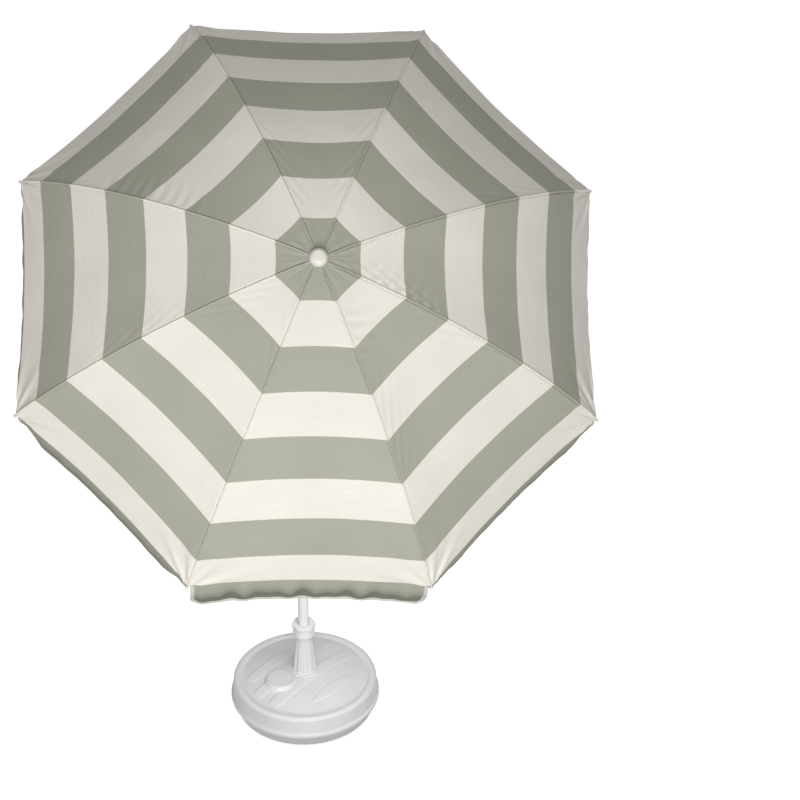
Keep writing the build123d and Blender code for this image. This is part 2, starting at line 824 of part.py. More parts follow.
def make_stretcher(index):
    """A rod with a fork and rivet at the rib and an eye at the runner."""
    plane = rib_plane(index)
    joint = plane.from_local_coords((joint_x, joint_y, 0))
    runner_end = plane.from_local_coords((hinge_radius, runner_level, 0))
    link = Plane(origin=joint, x_dir=runner_end - joint, z_dir=plane.z_dir)
    inner = eye_thickness / 2.0 + loose_clearance
    outer = inner + prong_thickness
    with BuildPart() as stretcher:
        for side in (1, -1):
            with BuildSketch(link.offset(side * inner)):
                Circle(eye_radius)
                with Locations((prong_length / 2.0, 0)):
                    Rectangle(prong_length, 2.0 * eye_radius)
            extrude(amount=side * prong_thickness)
        with BuildSketch(link):
            with Locations((prong_length - fork_root_length / 4.0, 0)):
                Rectangle(fork_root_length, 2.0 * eye_radius)
        extrude(amount=outer, both=True)
        with BuildSketch(Plane(origin=link.from_local_coords((prong_length, 0, 0)), z_dir=link.x_dir)):
            Circle(rib_diameter / 2.0)
        extrude(amount=link_length - prong_length)
        with BuildSketch(link):
            with Locations((link_length, 0)):
                Circle(eye_radius)
        extrude(amount=eye_thickness / 2.0, both=True)
        with BuildSketch(link):
            Circle(hinge_pin_radius)
        extrude(amount=2.0 * outer, both=True, mode=Mode.SUBTRACT)
        with BuildSketch(link):
            with Locations((link_length, 0)):
                Circle(hinge_pin_radius + sliding_clearance)
        extrude(amount=2.0 * outer, both=True, mode=Mode.SUBTRACT)
    with BuildPart() as rivet:
        with BuildSketch(link):
            Circle(hinge_pin_radius)
        extrude(amount=outer, both=True)
        for side in (1, -1):
            with BuildSketch(link.offset(side * outer)):
                Circle(rivet_head_radius)
            extrude(amount=side * rivet_head)
    return Compound(children=[stretcher.part.solid(), rivet.part.solid()])


for number in range(1, rib_count + 1):
    stretcher = make_stretcher(number - 1)
    stretcher.label = f"stretcher_{number}"
    export_step(stretcher, f"parts/stretcher_{number}.step")


# Fabric gores: each is centred on a rib, reaches to the middle of both panels and ends in a valance

def fabric_point(plane, arc, side):
    """Place on the fabric's underside, over the rib (side 0) or in the middle of a panel."""
    hem_share = (arc - fabric_inner_arc) / (fabric_hem_arc - fabric_inner_arc)
    along = arc - abs(side) * hem_bow * hem_share**2
    above = fabric_seat + fabric_lift * (1.0 - arc / rib_arc)
    out, up = rib_point(along, above)
    if side == 0:
        return plane.from_local_coords((out, up, 0))
    across = out * math.cos(half_gap) * math.sin(half_gap) - seam_gap
    return plane.from_local_coords((out * math.cos(half_gap) ** 2, up, side * across))


def make_gore(index):
    """A thin taut sheet folded over one rib, with two hanging flaps at its hem."""
    plane = rib_plane(index)
    with BuildPart() as gore:
        for side in (1, -1):
            for station in range(fabric_stations + 1):
                arc = fabric_inner_arc + station * fabric_step
                over_rib = fabric_point(plane, arc, 0)
                mid_panel = fabric_point(plane, arc, side)
                slope = rib_slope(arc)
                normal = plane.x_dir * math.sin(slope) + plane.y_dir * math.cos(slope)
                run = mid_panel - over_rib
                sheet = Plane(origin=over_rib, x_dir=run, z_dir=run.cross(normal))
                lift = sheet.to_local_coords(over_rib + normal * fabric_thickness)
                with BuildSketch(sheet):
                    Polygon((0, 0), (run.length, 0), (run.length + lift.X, lift.Y), (lift.X, lift.Y), align=None)
            loft(ruled=True)
        for side in (1, -1):
            over_rib = fabric_point(plane, fabric_hem_arc, 0)
            mid_panel = fabric_point(plane, fabric_hem_arc, side)
            run = mid_panel - over_rib
            drop = math.radians(valance_slope)
            panel_out = plane.x_dir * math.cos(half_gap) + plane.z_dir * (side * math.sin(half_gap))
            hang = panel_out * math.cos(drop) - plane.y_dir * math.sin(drop)
            flap = Plane(origin=over_rib, x_dir=run, z_dir=hang.cross(run) * side)
            fall = flap.to_local_coords(over_rib + hang)
            low = (fall.X * valance_length, fall.Y * valance_length)
            high = (-fall.X * valance_overlap, -fall.Y * valance_overlap)
            with BuildSketch(flap) as outline:
                Polygon(
                    (valance_rib_gap + high[0], high[1]),
                    (run.length + high[0], high[1]),
                    (run.length + low[0], low[1]),
                    (valance_rib_gap + low[0], low[1]),
                    align=None,
                )
                rib_side = outline.vertices().sort_by_distance(over_rib + hang * valance_length)[0]
                fillet(rib_side, valance_corner_radius)
            extrude(amount=side * fabric_thickness)
    return gore


for number in range(1, rib_count + 1):
    gore = make_gore(number - 1)
    gore.part.label = f"gore_{number}"
    export_step(gore.part, f"parts/gore_{number}.step")


# Runner sliding on the upper pole, its hinge pins and its thumb screw

runner_plane = head.offset(runner_level)
runner_bottom = -runner_sleeve_down
screw_level = runner_bottom + runner_grip_height / 2.0
screw_turn = math.radians(-90.0)
screw_out = head.x_dir * math.cos(screw_turn) + head.y_dir * math.sin(screw_turn)
screw_plane = Plane(origin=runner_plane.origin + head_axis * screw_level, z_dir=screw_out)

with BuildPart() as runner:
    with BuildSketch(runner_plane.offset(runner_bottom)):
        Circle(runner_sleeve_radius)
    extrude(amount=runner_sleeve_up - runner_bottom)
    with BuildSketch(runner_plane.offset(-runner_flange_half)):
        Circle(runner_flange_radius)
    extrude(amount=2.0 * runner_flange_half)
    with BuildSketch(runner_plane.offset(runner_bottom)):
        Circle(runner_grip_radius)
    extrude(amount=runner_grip_height)
    with BuildSketch(runner_plane.offset(-slot_top)):
        with PolarLocations(slot_inner_radius + hub_radius / 2.0, rib_count, start_angle=first_rib):
            Rectangle(hub_radius, slot_width)
    extrude(amount=slot_top + runner_flange_half, mode=Mode.SUBTRACT)
    with BuildSketch(runner_plane.offset(runner_bottom)):
        Circle(upper_pole_radius + sliding_clearance)
    extrude(amount=runner_sleeve_up - runner_bottom, mode=Mode.SUBTRACT)
    for index in range(rib_count):
        with BuildSketch(rib_plane(index)):
            with Locations((hinge_radius, runner_level)):
                Circle(hinge_pin_radius)
        extrude(amount=hinge_pin_length / 2.0, both=True, mode=Mode.SUBTRACT)
    with BuildSketch(screw_plane):
        Circle(screw_stem_radius + running_clearance)
    extrude(amount=runner_grip_radius, mode=Mode.SUBTRACT)
runner.part.label = "runner"
export_step(runner.part, "parts/runner.step")

with BuildPart() as runner_pins:
    for index in range(rib_count):
        with BuildSketch(rib_plane(index)):
            with Locations((hinge_radius, runner_level)):
                Circle(hinge_pin_radius)
        extrude(amount=hinge_pin_length / 2.0, both=True)
runner_pins.part.label = "runner_pins"
export_step(runner_pins.part, "parts/runner_pins.step")

with BuildPart() as runner_screw:
    with BuildSketch(screw_plane.offset(upper_pole_radius + loose_clearance)):
        Circle(screw_stem_radius)
    extrude(amount=runner_grip_radius + screw_gap - upper_pole_radius)
    with BuildSketch(screw_plane.offset(runner_grip_radius + screw_gap)):
        with PolarLocations(screw_head_radius / 2.0, 2):
            Circle(screw_head_radius / 2.0)
        Rectangle(screw_head_radius, screw_head_radius / 2.0)
    extrude(amount=screw_head_length)
runner_screw.part.label = "runner_screw"
export_step(runner_screw.part, "parts/runner_screw.step")
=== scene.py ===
import math

import bmesh
import bpy
import numpy as np
from mathutils import Matrix, Vector


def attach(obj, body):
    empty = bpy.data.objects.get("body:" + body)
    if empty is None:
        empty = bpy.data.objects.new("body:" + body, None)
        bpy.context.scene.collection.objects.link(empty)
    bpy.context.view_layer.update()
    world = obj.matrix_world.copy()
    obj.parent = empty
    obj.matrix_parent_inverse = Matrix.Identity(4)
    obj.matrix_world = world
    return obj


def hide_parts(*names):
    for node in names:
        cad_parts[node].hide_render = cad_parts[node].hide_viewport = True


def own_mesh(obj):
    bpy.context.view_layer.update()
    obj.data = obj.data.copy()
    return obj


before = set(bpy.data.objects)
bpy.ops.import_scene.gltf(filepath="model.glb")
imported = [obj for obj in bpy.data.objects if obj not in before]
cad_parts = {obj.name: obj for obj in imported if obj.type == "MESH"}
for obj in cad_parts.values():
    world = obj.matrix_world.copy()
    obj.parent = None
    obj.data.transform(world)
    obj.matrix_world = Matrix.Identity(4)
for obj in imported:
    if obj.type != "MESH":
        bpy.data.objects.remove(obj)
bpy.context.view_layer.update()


# Base pan
# The lower half of the hollow base: a shallow tapered bowl with three arc-shaped feet.
# Blow-moulded polyethylene in a darker grey than the cover, which clips over its flange.

def linear(hex_colour):
    """An sRGB hex value as the linear colour that a shader takes."""
    parts = [int(hex_colour[i:i + 2], 16) / 255.0 for i in (1, 3, 5)]
    return [c / 12.92 if c <= 0.04045 else ((c + 0.055) / 1.055) ** 2.4 for c in parts] + [1.0]


def add_node(tree, kind, settings=None, inputs=None):
    """Add one node; an input's value is a constant or another node's output."""
    node = tree.nodes.new(kind)
    for name, value in (settings or {}).items():
        setattr(node, name, value)
    for name, value in (inputs or {}).items():
        if isinstance(value, bpy.types.NodeSocket):
            tree.links.new(value, node.inputs[name])
        else:
            node.inputs[name].default_value = value
    return node


def new_material(name):
    """A material with an empty tree."""
    material = bpy.data.materials.new(name)
    material.use_nodes = True
    material.node_tree.nodes.clear()
    return material


def moulded_plastic(name, colour, shade, roughness, grain_mm, grain_depth):
    """Moulded plastic: a satin skin with fine mould grain, faint clouding and duller handled patches."""
    material = new_material(name)
    tree = material.node_tree
    place = add_node(tree, "ShaderNodeTexCoord").outputs["Object"]
    cloud = add_node(tree, "ShaderNodeTexNoise", inputs={
        "Vector": place, "Scale": 1000 / 70, "Detail": 3.0})
    grain = add_node(tree, "ShaderNodeTexNoise", inputs={
        "Vector": place, "Scale": 1000 / grain_mm, "Detail": 2.0})
    rub = add_node(tree, "ShaderNodeTexNoise", inputs={
        "Vector": place, "Scale": 1000 / 22, "Detail": 4.0})
    tint = add_node(tree, "ShaderNodeMix", {"data_type": "RGBA"}, {
        0: cloud.outputs["Fac"], 6: linear(colour), 7: linear(shade)})
    gloss = add_node(tree, "ShaderNodeMapRange", inputs={
        "Value": rub.outputs["Fac"], "From Min": 0.3, "From Max": 0.7,
        "To Min": roughness - 0.06, "To Max": roughness + 0.08})
    bump = add_node(tree, "ShaderNodeBump", inputs={
        "Height": grain.outputs["Fac"], "Strength": 0.25, "Distance": grain_depth / 1000})
    skin = add_node(tree, "ShaderNodeBsdfPrincipled", inputs={
        "Base Color": tint.outputs[2], "Roughness": gloss.outputs["Result"],
        "Normal": bump.outputs["Normal"], "IOR": 1.5})
    add_node(tree, "ShaderNodeOutputMaterial", inputs={"Surface": skin.outputs["BSDF"]})
    return material


def dress(material, *nodes):
    """Give CAD nodes that keep their shape their finish."""
    for name in nodes:
        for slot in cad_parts[name].material_slots:
            slot.material = material


# Polyethylene: waxy and half matt, so highlights are broad and soft.
pan_polyethylene = moulded_plastic("grey_moulded_polyethylene", "#BABABB", "#B1B1B3", 0.46, 1.6, 0.25)
dress(pan_polyethylene, "base_pan")


# Ballast
# Damp sand poured in through the filler, lying loose in the pan.
# Only the open filler shows it.

# Wet grains: dark, rough and without a highlight.
wet_sand = new_material("damp_sand")
sand_tree = wet_sand.node_tree
sand_place = add_node(sand_tree, "ShaderNodeTexCoord").outputs["Object"]
sand_grains = add_node(sand_tree, "ShaderNodeTexVoronoi", inputs={
    "Vector": sand_place, "Scale": 1000 / 1.2})
sand_patches = add_node(sand_tree, "ShaderNodeTexNoise", inputs={
    "Vector": sand_place, "Scale": 1000 / 30})
sand_tint = add_node(sand_tree, "ShaderNodeMix", {"data_type": "RGBA"}, {
    0: sand_patches.outputs["Fac"], 6: linear("#9A8A6C"), 7: linear("#7C6C52")})
sand_bump = add_node(sand_tree, "ShaderNodeBump", inputs={
    "Height": sand_grains.outputs["Distance"], "Strength": 0.8, "Distance": 0.0006})
sand_skin = add_node(sand_tree, "ShaderNodeBsdfPrincipled", inputs={
    "Base Color": sand_tint.outputs[2], "Roughness": 0.9, "Normal": sand_bump.outputs["Normal"]})
add_node(sand_tree, "ShaderNodeOutputMaterial", inputs={"Surface": sand_skin.outputs["BSDF"]})
dress(wet_sand, "ballast")


# Base cover
# The upper half of the base: a lipped shell with a wide round rim and a domed field inside it.
# Pale blow-moulded polyethylene, so every raised strip, ring and boss runs softly into the next.

def grid_object(name, points, wrap_rows=False, wrap_columns=False, uv=None):
    """A smooth quad skin through a grid of points (rows, columns, 3) in metres, facing rows x columns."""
    rows, columns = points.shape[:2]
    index = np.arange(rows * columns).reshape(rows, columns)
    if wrap_rows:
        index = np.vstack([index, index[:1]])
    if wrap_columns:
        index = np.hstack([index, index[:, :1]])
    quads = np.stack([index[:-1, :-1], index[:-1, 1:], index[1:, 1:], index[1:, :-1]], axis=-1)
    mesh = bpy.data.meshes.new(name)
    mesh.from_pydata(points.reshape(-1, 3).tolist(), [], quads.reshape(-1, 4).tolist())
    mesh.polygons.foreach_set("use_smooth", np.ones(len(mesh.polygons), dtype=bool))
    if uv is not None:
        corner = np.empty(len(mesh.loops), dtype=np.int32)
        mesh.loops.foreach_get("vertex_index", corner)
        layer = mesh.uv_layers.new(name="Cloth")
        layer.data.foreach_set("uv", uv.reshape(-1, 2)[corner].astype(np.float32).ravel())
    piece = bpy.data.objects.new(name, mesh)
    bpy.context.scene.collection.objects.link(piece)
    return piece


def rounded_line(corners, steps=6):
    """Points along a profile of (radius, height, corner radius), with its corners rounded."""
    line = []
    for i, (x, y, r) in enumerate(corners):
        here = np.array([x, y])
        if r == 0 or i == 0 or i == len(corners) - 1:
            line.append(here)
            continue
        back = np.array(corners[i - 1][:2]) - here
        ahead = np.array(corners[i + 1][:2]) - here
        back_length, ahead_length = np.linalg.norm(back), np.linalg.norm(ahead)
        half = math.acos(max(-1.0, min(1.0, back @ ahead / back_length / ahead_length))) / 2
        reach = min(r / math.tan(half), 0.49 * back_length, 0.49 * ahead_length)
        start, end = here + back / back_length * reach, here + ahead / ahead_length * reach
        for t in np.linspace(0, 1, steps + 1):
            line.append((1 - t) ** 2 * start + 2 * t * (1 - t) * here + t ** 2 * end)
    return np.array(line)


def soft_step(distance, width):
    """1 inside an outline, 0 outside it, easing over the width around it."""
    t = np.clip(0.5 - distance / width, 0, 1)
    return t * t * (3 - 2 * t)


bore_radius, shell_wall = 20.18, 3.0
recess_radius, dome_rise, dome_foot = 190.0, 28.0, 104.0
dome_curve = (recess_radius ** 2 + dome_rise ** 2) / (2 * dome_rise)


def dome_height(radius, above=0.0):
    """Height of the domed field at a distance from the middle."""
    return dome_foot + dome_rise - dome_curve + np.sqrt((dome_curve + above) ** 2 - radius ** 2)


foot_ring_radius, foot_ring_rise = 43.0, 4.0
foot_ring_top = float(dome_height(foot_ring_radius)) + foot_ring_rise
filler_x, filler_y, filler_radius, filler_rise = -77.0, -42.0, 31.0, 5.6
filler_reach = math.hypot(filler_x, filler_y)
filler_top = float(dome_height(filler_reach)) + filler_rise
cap_radius, collar_rise, collar_slope = 36.0, 3.5, 12.0
neck_rise, neck_start, neck_middle = 1.2, 30.0, 48.0
strip_width, strip_pitch, strip_raise, strip_turn = 36.0, 66.0, 2.5, math.radians(40)
strip_corner, strip_margin = 14.0, 9.0
plate_half, plate_bulge, plate_raise, plate_edge = 86.0, 17.0, 1.5, 2.8
plate_curve = (plate_half ** 2 + plate_bulge ** 2) / (2 * plate_bulge)
plate_middle = -1.5 * strip_pitch - plate_bulge


def cover_relief(x, y):
    """Height of the moulded relief over the plain dome."""
    radius = np.hypot(x, y)
    along = x * math.cos(strip_turn) + y * math.sin(strip_turn)
    across = y * math.cos(strip_turn) - x * math.sin(strip_turn)
    relief = np.zeros_like(x)
    for step in (-1, 0, 1):
        middle = step * strip_pitch + strip_pitch / 2
        half = math.sqrt((recess_radius - strip_margin) ** 2 - (abs(middle) + strip_width / 2) ** 2)
        side = np.abs(across - middle) - strip_width / 2 + strip_corner
        end = np.abs(along) - half + strip_corner
        outside = np.hypot(np.maximum(side, 0), np.maximum(end, 0))
        outline = outside + np.minimum(np.maximum(side, end), 0) - strip_corner
        # The far edge of each strip is a soft shoulder and the near one a crisp line.
        lean = 0.5 + np.clip((across - middle) / strip_width, -0.5, 0.5)
        strip = strip_raise * (0.55 + 0.75 * lean) * soft_step(outline, 2.8 + 3.2 * lean)
        relief = np.maximum(relief, strip)
    # The plate is the lens where two circles overlap.
    upper = np.hypot(along, across - plate_middle - plate_curve + plate_bulge) - plate_curve
    lower = np.hypot(along, across - plate_middle + plate_curve - plate_bulge) - plate_curve
    relief = np.maximum(relief, plate_raise * soft_step(np.maximum(upper, lower), plate_edge))
    ring = soft_step(radius - foot_ring_radius, 4.5)
    boss = soft_step(np.hypot(x - filler_x, y - filler_y) - cap_radius - 10.5, collar_slope)
    # A waisted neck joins the filler's boss to the ring at the post's foot.
    turn = math.atan2(filler_y, filler_x)
    neck_along = x * math.cos(turn) + y * math.sin(turn)
    neck_across = y * math.cos(turn) - x * math.sin(turn)
    neck_waist = 8.5 + 5.0 * ((neck_along - neck_middle) / 20) ** 2
    neck = soft_step(np.abs(neck_across) - neck_waist, 7.0)
    neck = neck * (neck_along > neck_start) * (neck_along < filler_reach)
    dome = dome_height(radius)
    clear = 1 - np.maximum(np.maximum(ring, boss), neck)
    relief = np.maximum(relief * clear, (foot_ring_top - dome) * ring)
    relief = np.maximum(relief, (filler_top + collar_rise - 0.1 - dome) * boss)
    return np.maximum(relief, (filler_top + neck_rise - dome) * neck)


spokes = 560
turn = np.linspace(0, 2 * math.pi, spokes, endpoint=False)
field_edge = 184.0
field_radii = np.concatenate([np.linspace(bore_radius, 47, 22), np.linspace(48.8, field_edge, 76)])
# The rim goes up over its crest, down the wall to the lip, and back up inside.
rim_line = rounded_line([
    (field_edge, float(dome_height(field_edge)), 0), (190.5, 104.1, 2.5), (197, 110, 9), (207, 111.6, 14),
    (216.6, 106, 14), (219, 56.4, 3), (225, 56, 4), (225, 46, 1), (216, 46, 0.8), (213, 104, 9),
    (197.5, 107.6, 6), (191, 100.6, 2)], steps=5)[1:]
under_radii = np.linspace(field_edge, bore_radius, 10)
profile_radius = np.concatenate([field_radii, rim_line[:, 0], under_radii])
profile_height = np.concatenate([
    dome_height(field_radii), rim_line[:, 1], dome_height(under_radii, -shell_wall)])
cover_x = profile_radius[:, None] * np.cos(turn)
cover_y = profile_radius[:, None] * np.sin(turn)
cover_z = np.repeat(profile_height[:, None], spokes, axis=1)
cover_z[:len(field_radii)] += cover_relief(cover_x[:len(field_radii)], cover_y[:len(field_radii)])
cover = grid_object("cover_shell", np.stack([cover_x, cover_y, cover_z], axis=-1)[::-1] / 1000,
                    wrap_rows=True, wrap_columns=True)


def join(name, pieces):
    """Join finished meshes into the first of them."""
    joined = bmesh.new()
    for piece in pieces:
        joined.from_mesh(piece.data)
    joined.to_mesh(pieces[0].data)
    joined.free()
    for spare in pieces[1:]:
        bpy.data.objects.remove(spare)
    pieces[0].name = name
    return pieces[0]


def lathe(name, line, spokes, swell=None):
    """A closed ring turned from a closed profile in mm; swell(angle, radius, height) may change its radii."""
    angle = np.linspace(0, 2 * math.pi, spokes, endpoint=False)
    radius = np.repeat(line[:, :1], spokes, axis=1)
    height = np.repeat(line[:, 1:], spokes, axis=1)
    if swell is not None:
        radius = swell(angle[None, :], radius, height)
    points = np.stack([radius * np.cos(angle), radius * np.sin(angle), height], axis=-1) / 1000
    return grid_object(name, points, wrap_rows=True, wrap_columns=True)


# The filler is cut through the shell, and its throat is a turned ring that lines the cut and seats the lid.
cut = [face.index for face in cover.data.polygons
       if math.hypot(face.center.x * 1000 - filler_x, face.center.y * 1000 - filler_y) < cap_radius + 2.2
       and face.center.z > 0.09]
trimmed = bmesh.new()
trimmed.from_mesh(cover.data)
trimmed.faces.ensure_lookup_table()
bmesh.ops.delete(trimmed, geom=[trimmed.faces[i] for i in cut], context="FACES")
trimmed.to_mesh(cover.data)
trimmed.free()
throat = lathe("throat", rounded_line([
    (filler_radius, filler_top - 15, 0), (filler_radius, filler_top - 0.05, 0.8),
    (cap_radius + 0.5, filler_top - 0.05, 0.2),
    (cap_radius + 0.5, filler_top + collar_rise, 0.6), (cap_radius + 4.6, filler_top + collar_rise, 0.3),
    (cap_radius + 5.0, filler_top + collar_rise - 1.0, 0), (cap_radius + 1.0, filler_top - 6, 0),
    (filler_radius + 2.5, filler_top - 15, 0)])[::-1], 120)
throat.data.transform(Matrix.Translation((filler_x / 1000, filler_y / 1000, 0)))
cover = join("cover_shell", [cover, throat])
cover_polyethylene = moulded_plastic("pale_moulded_polyethylene", "#CDCDCD", "#C5C5C4", 0.42, 1.6, 0.2)
cover.data.materials.append(cover_polyethylene)
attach(cover, "base")
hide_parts("base_cover")


# Post
# The column that the pole stands in: six rounded petals that taper up to a plain neck.
# One moulding with a flange that snaps on the cover's ring, in the cover's own plastic.

post_foot, post_top, neck_height = foot_ring_top + 4.0, foot_ring_top + 129.0, 15.0
socket_radius, spigot_radius, spigot_depth, flange_radius = 16.4, 19.8, 30.0, 37.0
column_foot_radius, column_top_radius, neck_radius = 34.5, 23.0, 22.0
hollow_foot_radius, hollow_top_radius = 10.5, 1.8
hollow_foot_reach, hollow_top_reach = 38.6, 24.4


def post_petals(angle, radius, height):
    """Cut six tapering hollows between the petals."""
    share = np.clip((height - post_foot) / (post_top - post_foot), 0, 1)
    off = np.mod(angle - math.radians(30) + math.pi / 6, math.pi / 3) - math.pi / 6
    hollow = hollow_foot_radius * (1 - share) + hollow_top_radius * share
    centre = hollow_foot_reach * (1 - share) + hollow_top_reach * share
    inside = np.maximum(hollow ** 2 - (centre * np.sin(off)) ** 2, 0)
    reach = np.where(inside > 0, centre * np.cos(off) - np.sqrt(inside), 99.0)
    blend = 1.8
    mix = np.clip(0.5 + 0.5 * (reach - radius) / blend, 0, 1)
    soft = reach * (1 - mix) + radius * mix - blend * mix * (1 - mix)
    column = (height > post_foot + 0.5) & (height < post_top - 0.5) & (radius > neck_radius + 0.5)
    return np.where(column, soft, radius)


column_heights = np.linspace(post_foot + 3, post_top - 1.5, 40)
column_taper = (column_top_radius - column_foot_radius) / (post_top - post_foot)
column_radii = column_foot_radius + column_taper * (column_heights - post_foot)
flange_line = rounded_line([
    (socket_radius, foot_ring_top - spigot_depth, 0), (spigot_radius, foot_ring_top - spigot_depth, 0),
    (spigot_radius, foot_ring_top, 0), (flange_radius, foot_ring_top, 0.6), (flange_radius, post_foot, 1.6),
    (column_foot_radius, post_foot + 0.4, 0.8), (column_foot_radius - 0.2, post_foot + 2.4, 0)])
neck_line = rounded_line([
    (column_top_radius, post_top, 0.5), (neck_radius, post_top + 0.6, 0),
    (neck_radius, post_top + neck_height, 0.8), (socket_radius, post_top + neck_height, 0.3)])
post_line = np.vstack([flange_line, np.stack([column_radii, column_heights], axis=-1), neck_line])
post = lathe("post_column", post_line[::-1], 360, post_petals)
post.data.materials.append(cover_polyethylene)
post.data.set_sharp_from_angle(angle=math.radians(50))
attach(post, "base")
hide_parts("base_post")


# Collet
# A split sleeve of softer plastic that the collar squeezes onto the pole.
# It stands on the post's neck, where the collar hides it.

# Natural nylon: milky and faintly glossy.
collet_nylon = moulded_plastic("natural_nylon", "#E6E4DC", "#DCD9CF", 0.38, 1.2, 0.1)
dress(collet_nylon, "grip_collet")


# Locking collar
# The big nut on the post's neck: a ribbed barrel with a six-lobed plate on top for the fingers.
# Injection-moulded polypropylene, a shade glossier than the base.

collar_bottom, collar_plate, collar_top = post_top + 0.3, post_top + 34.3, post_top + 42.3
collar_radius, barrel_radius, thread_radius, pole_hole = 32.0, 31.6, 22.2, 16.5


def collar_lobes(angle, radius, height):
    """Six finger lobes round the plate and six thin ribs down the barrel."""
    off = np.mod(angle + math.pi / 6, math.pi / 3) - math.pi / 6
    plate = 34.6 + 1.9 * np.cos(6 * angle) - 0.35 * np.cos(12 * angle)
    rib = 1.5 * np.exp(-(off * collar_radius / 1.3) ** 2)
    barrel_reach = np.clip((height - collar_bottom - 3.0) / 3.0, 0, 1)
    on_plate = (height > collar_plate - 0.8) & (radius > 28.0)
    on_barrel = (height <= collar_plate - 0.8) & (radius > 27.0)
    ribbed = np.where(on_barrel, radius + rib * barrel_reach, radius)
    return np.where(on_plate, radius * plate / collar_radius, ribbed)


barrel_rows = [(barrel_radius, collar_bottom + 5 + 4 * i, 0) for i in range(7)]
collar_line = rounded_line([
    (thread_radius, collar_bottom, 0), (28.2, collar_bottom, 0.8), (collar_radius, collar_bottom + 4, 1.0),
    *barrel_rows, (barrel_radius, collar_plate - 0.9, 0.2), (collar_radius, collar_plate - 0.4, 0.9),
    (collar_radius, collar_top, 1.8), (24.0, collar_top, 0.5), (20.5, collar_top - 0.6, 0.5),
    (pole_hole, collar_top - 0.6, 0.8), (pole_hole, collar_plate, 0.3), (thread_radius, collar_plate, 0)])
collar = lathe("locking_nut", collar_line[::-1], 360, collar_lobes)
collar.data.set_sharp_from_angle(angle=math.radians(40))
collar_polypropylene = moulded_plastic("pale_moulded_polypropylene", "#D3D3D3", "#CBCBCA", 0.36, 1.2, 0.1)
collar.data.materials.append(collar_polypropylene)
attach(collar, "locking_collar")
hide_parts("locking_collar")


# Filler cap
# A round lid that plugs the filler, with a rubber ring under its edge.
# The lid is a flat moulding in the cover's plastic.

dress(cover_polyethylene, "filler_cap")
# Rubber: nearly black, and dull.
seal_rubber = moulded_plastic("black_seal_rubber", "#2A2A2B", "#333334", 0.62, 1.0, 0.15)
dress(seal_rubber, "cap_gasket")


# Lower pole, height clamp and knob
# Drawn steel tube in white powder coat; the clamp on its top is a white moulding with a hand knob.
# Inside, a moulded plug closes the tube's foot.

def powder_coat(name, colour, shade):
    """Powder-coated steel: smooth gloss with the coat's fine orange peel and a few dull rubbed places."""
    material = new_material(name)
    tree = material.node_tree
    place = add_node(tree, "ShaderNodeTexCoord").outputs["Object"]
    peel = add_node(tree, "ShaderNodeTexNoise", inputs={
        "Vector": place, "Scale": 1000 / 2.4, "Detail": 1.0})
    rub = add_node(tree, "ShaderNodeTexNoise", inputs={
        "Vector": place, "Scale": 1000 / 45, "Detail": 5.0})
    tint = add_node(tree, "ShaderNodeMix", {"data_type": "RGBA"}, {
        0: rub.outputs["Fac"], 6: linear(colour), 7: linear(shade)})
    gloss = add_node(tree, "ShaderNodeMapRange", inputs={
        "Value": rub.outputs["Fac"], "From Min": 0.35, "From Max": 0.7, "To Min": 0.26, "To Max": 0.42})
    bump = add_node(tree, "ShaderNodeBump", inputs={
        "Height": peel.outputs["Fac"], "Strength": 0.15, "Distance": 0.0003})
    skin = add_node(tree, "ShaderNodeBsdfPrincipled", inputs={
        "Base Color": tint.outputs[2], "Roughness": gloss.outputs["Result"],
        "Normal": bump.outputs["Normal"], "IOR": 1.5})
    add_node(tree, "ShaderNodeOutputMaterial", inputs={"Surface": skin.outputs["BSDF"]})
    return material


pole_coat = powder_coat("white_powder_coated_steel", "#D6D5D1", "#CAC9C4")
# ABS: a clean white satin with hardly any grain.
fitting_polymer = moulded_plastic("white_moulded_abs", "#E2E0DA", "#D9D7D0", 0.4, 1.3, 0.15)
dress(pole_coat, "lower_pole")
dress(fitting_polymer, "foot_plug", "height_clamp", "height_knob")


# Mid pole and tilt joint
# A thinner tube slides in the lower one and carries the moulded tilt fork, its pin and release button.
# The pin is zinc-plated steel.

# Zinc plating: a bright grey metal, clouded by its bloom.
pin_zinc = new_material("zinc_plated_steel")
zinc_tree = pin_zinc.node_tree
zinc_place = add_node(zinc_tree, "ShaderNodeTexCoord").outputs["Object"]
zinc_bloom = add_node(zinc_tree, "ShaderNodeTexNoise", inputs={
    "Vector": zinc_place, "Scale": 1000 / 4, "Detail": 4.0})
zinc_tint = add_node(zinc_tree, "ShaderNodeMix", {"data_type": "RGBA"}, {
    0: zinc_bloom.outputs["Fac"], 6: linear("#C4C6C8"), 7: linear("#A9ACAF")})
zinc_gloss = add_node(zinc_tree, "ShaderNodeMapRange", inputs={
    "Value": zinc_bloom.outputs["Fac"], "To Min": 0.22, "To Max": 0.45})
zinc_skin = add_node(zinc_tree, "ShaderNodeBsdfPrincipled", inputs={
    "Base Color": zinc_tint.outputs[2], "Metallic": 1.0, "Roughness": zinc_gloss.outputs["Result"]})
add_node(zinc_tree, "ShaderNodeOutputMaterial", inputs={"Surface": zinc_skin.outputs["BSDF"]})
dress(pole_coat, "mid_pole")
dress(fitting_polymer, "guide_plug", "tilt_fork", "tilt_button")
dress(pin_zinc, "tilt_pin")


# Head: tongue, upper pole, crown hub, runner
# The leaning part of the frame; the runner slides on the upper pole and its thumb screw holds it open.
# White mouldings on the same coated tube, with short steel hinge pins.

dress(pole_coat, "upper_pole")
dress(fitting_polymer, "tilt_tongue", "crown_hub", "runner", "runner_screw")
dress(pin_zinc, "crown_pins", "runner_pins")


# Ribs and stretchers
# Eight bowed steel rods hinge at the crown, each pushed up by a forked stretcher from the runner.
# White powder coat, with a moulded cap on each rib's end.

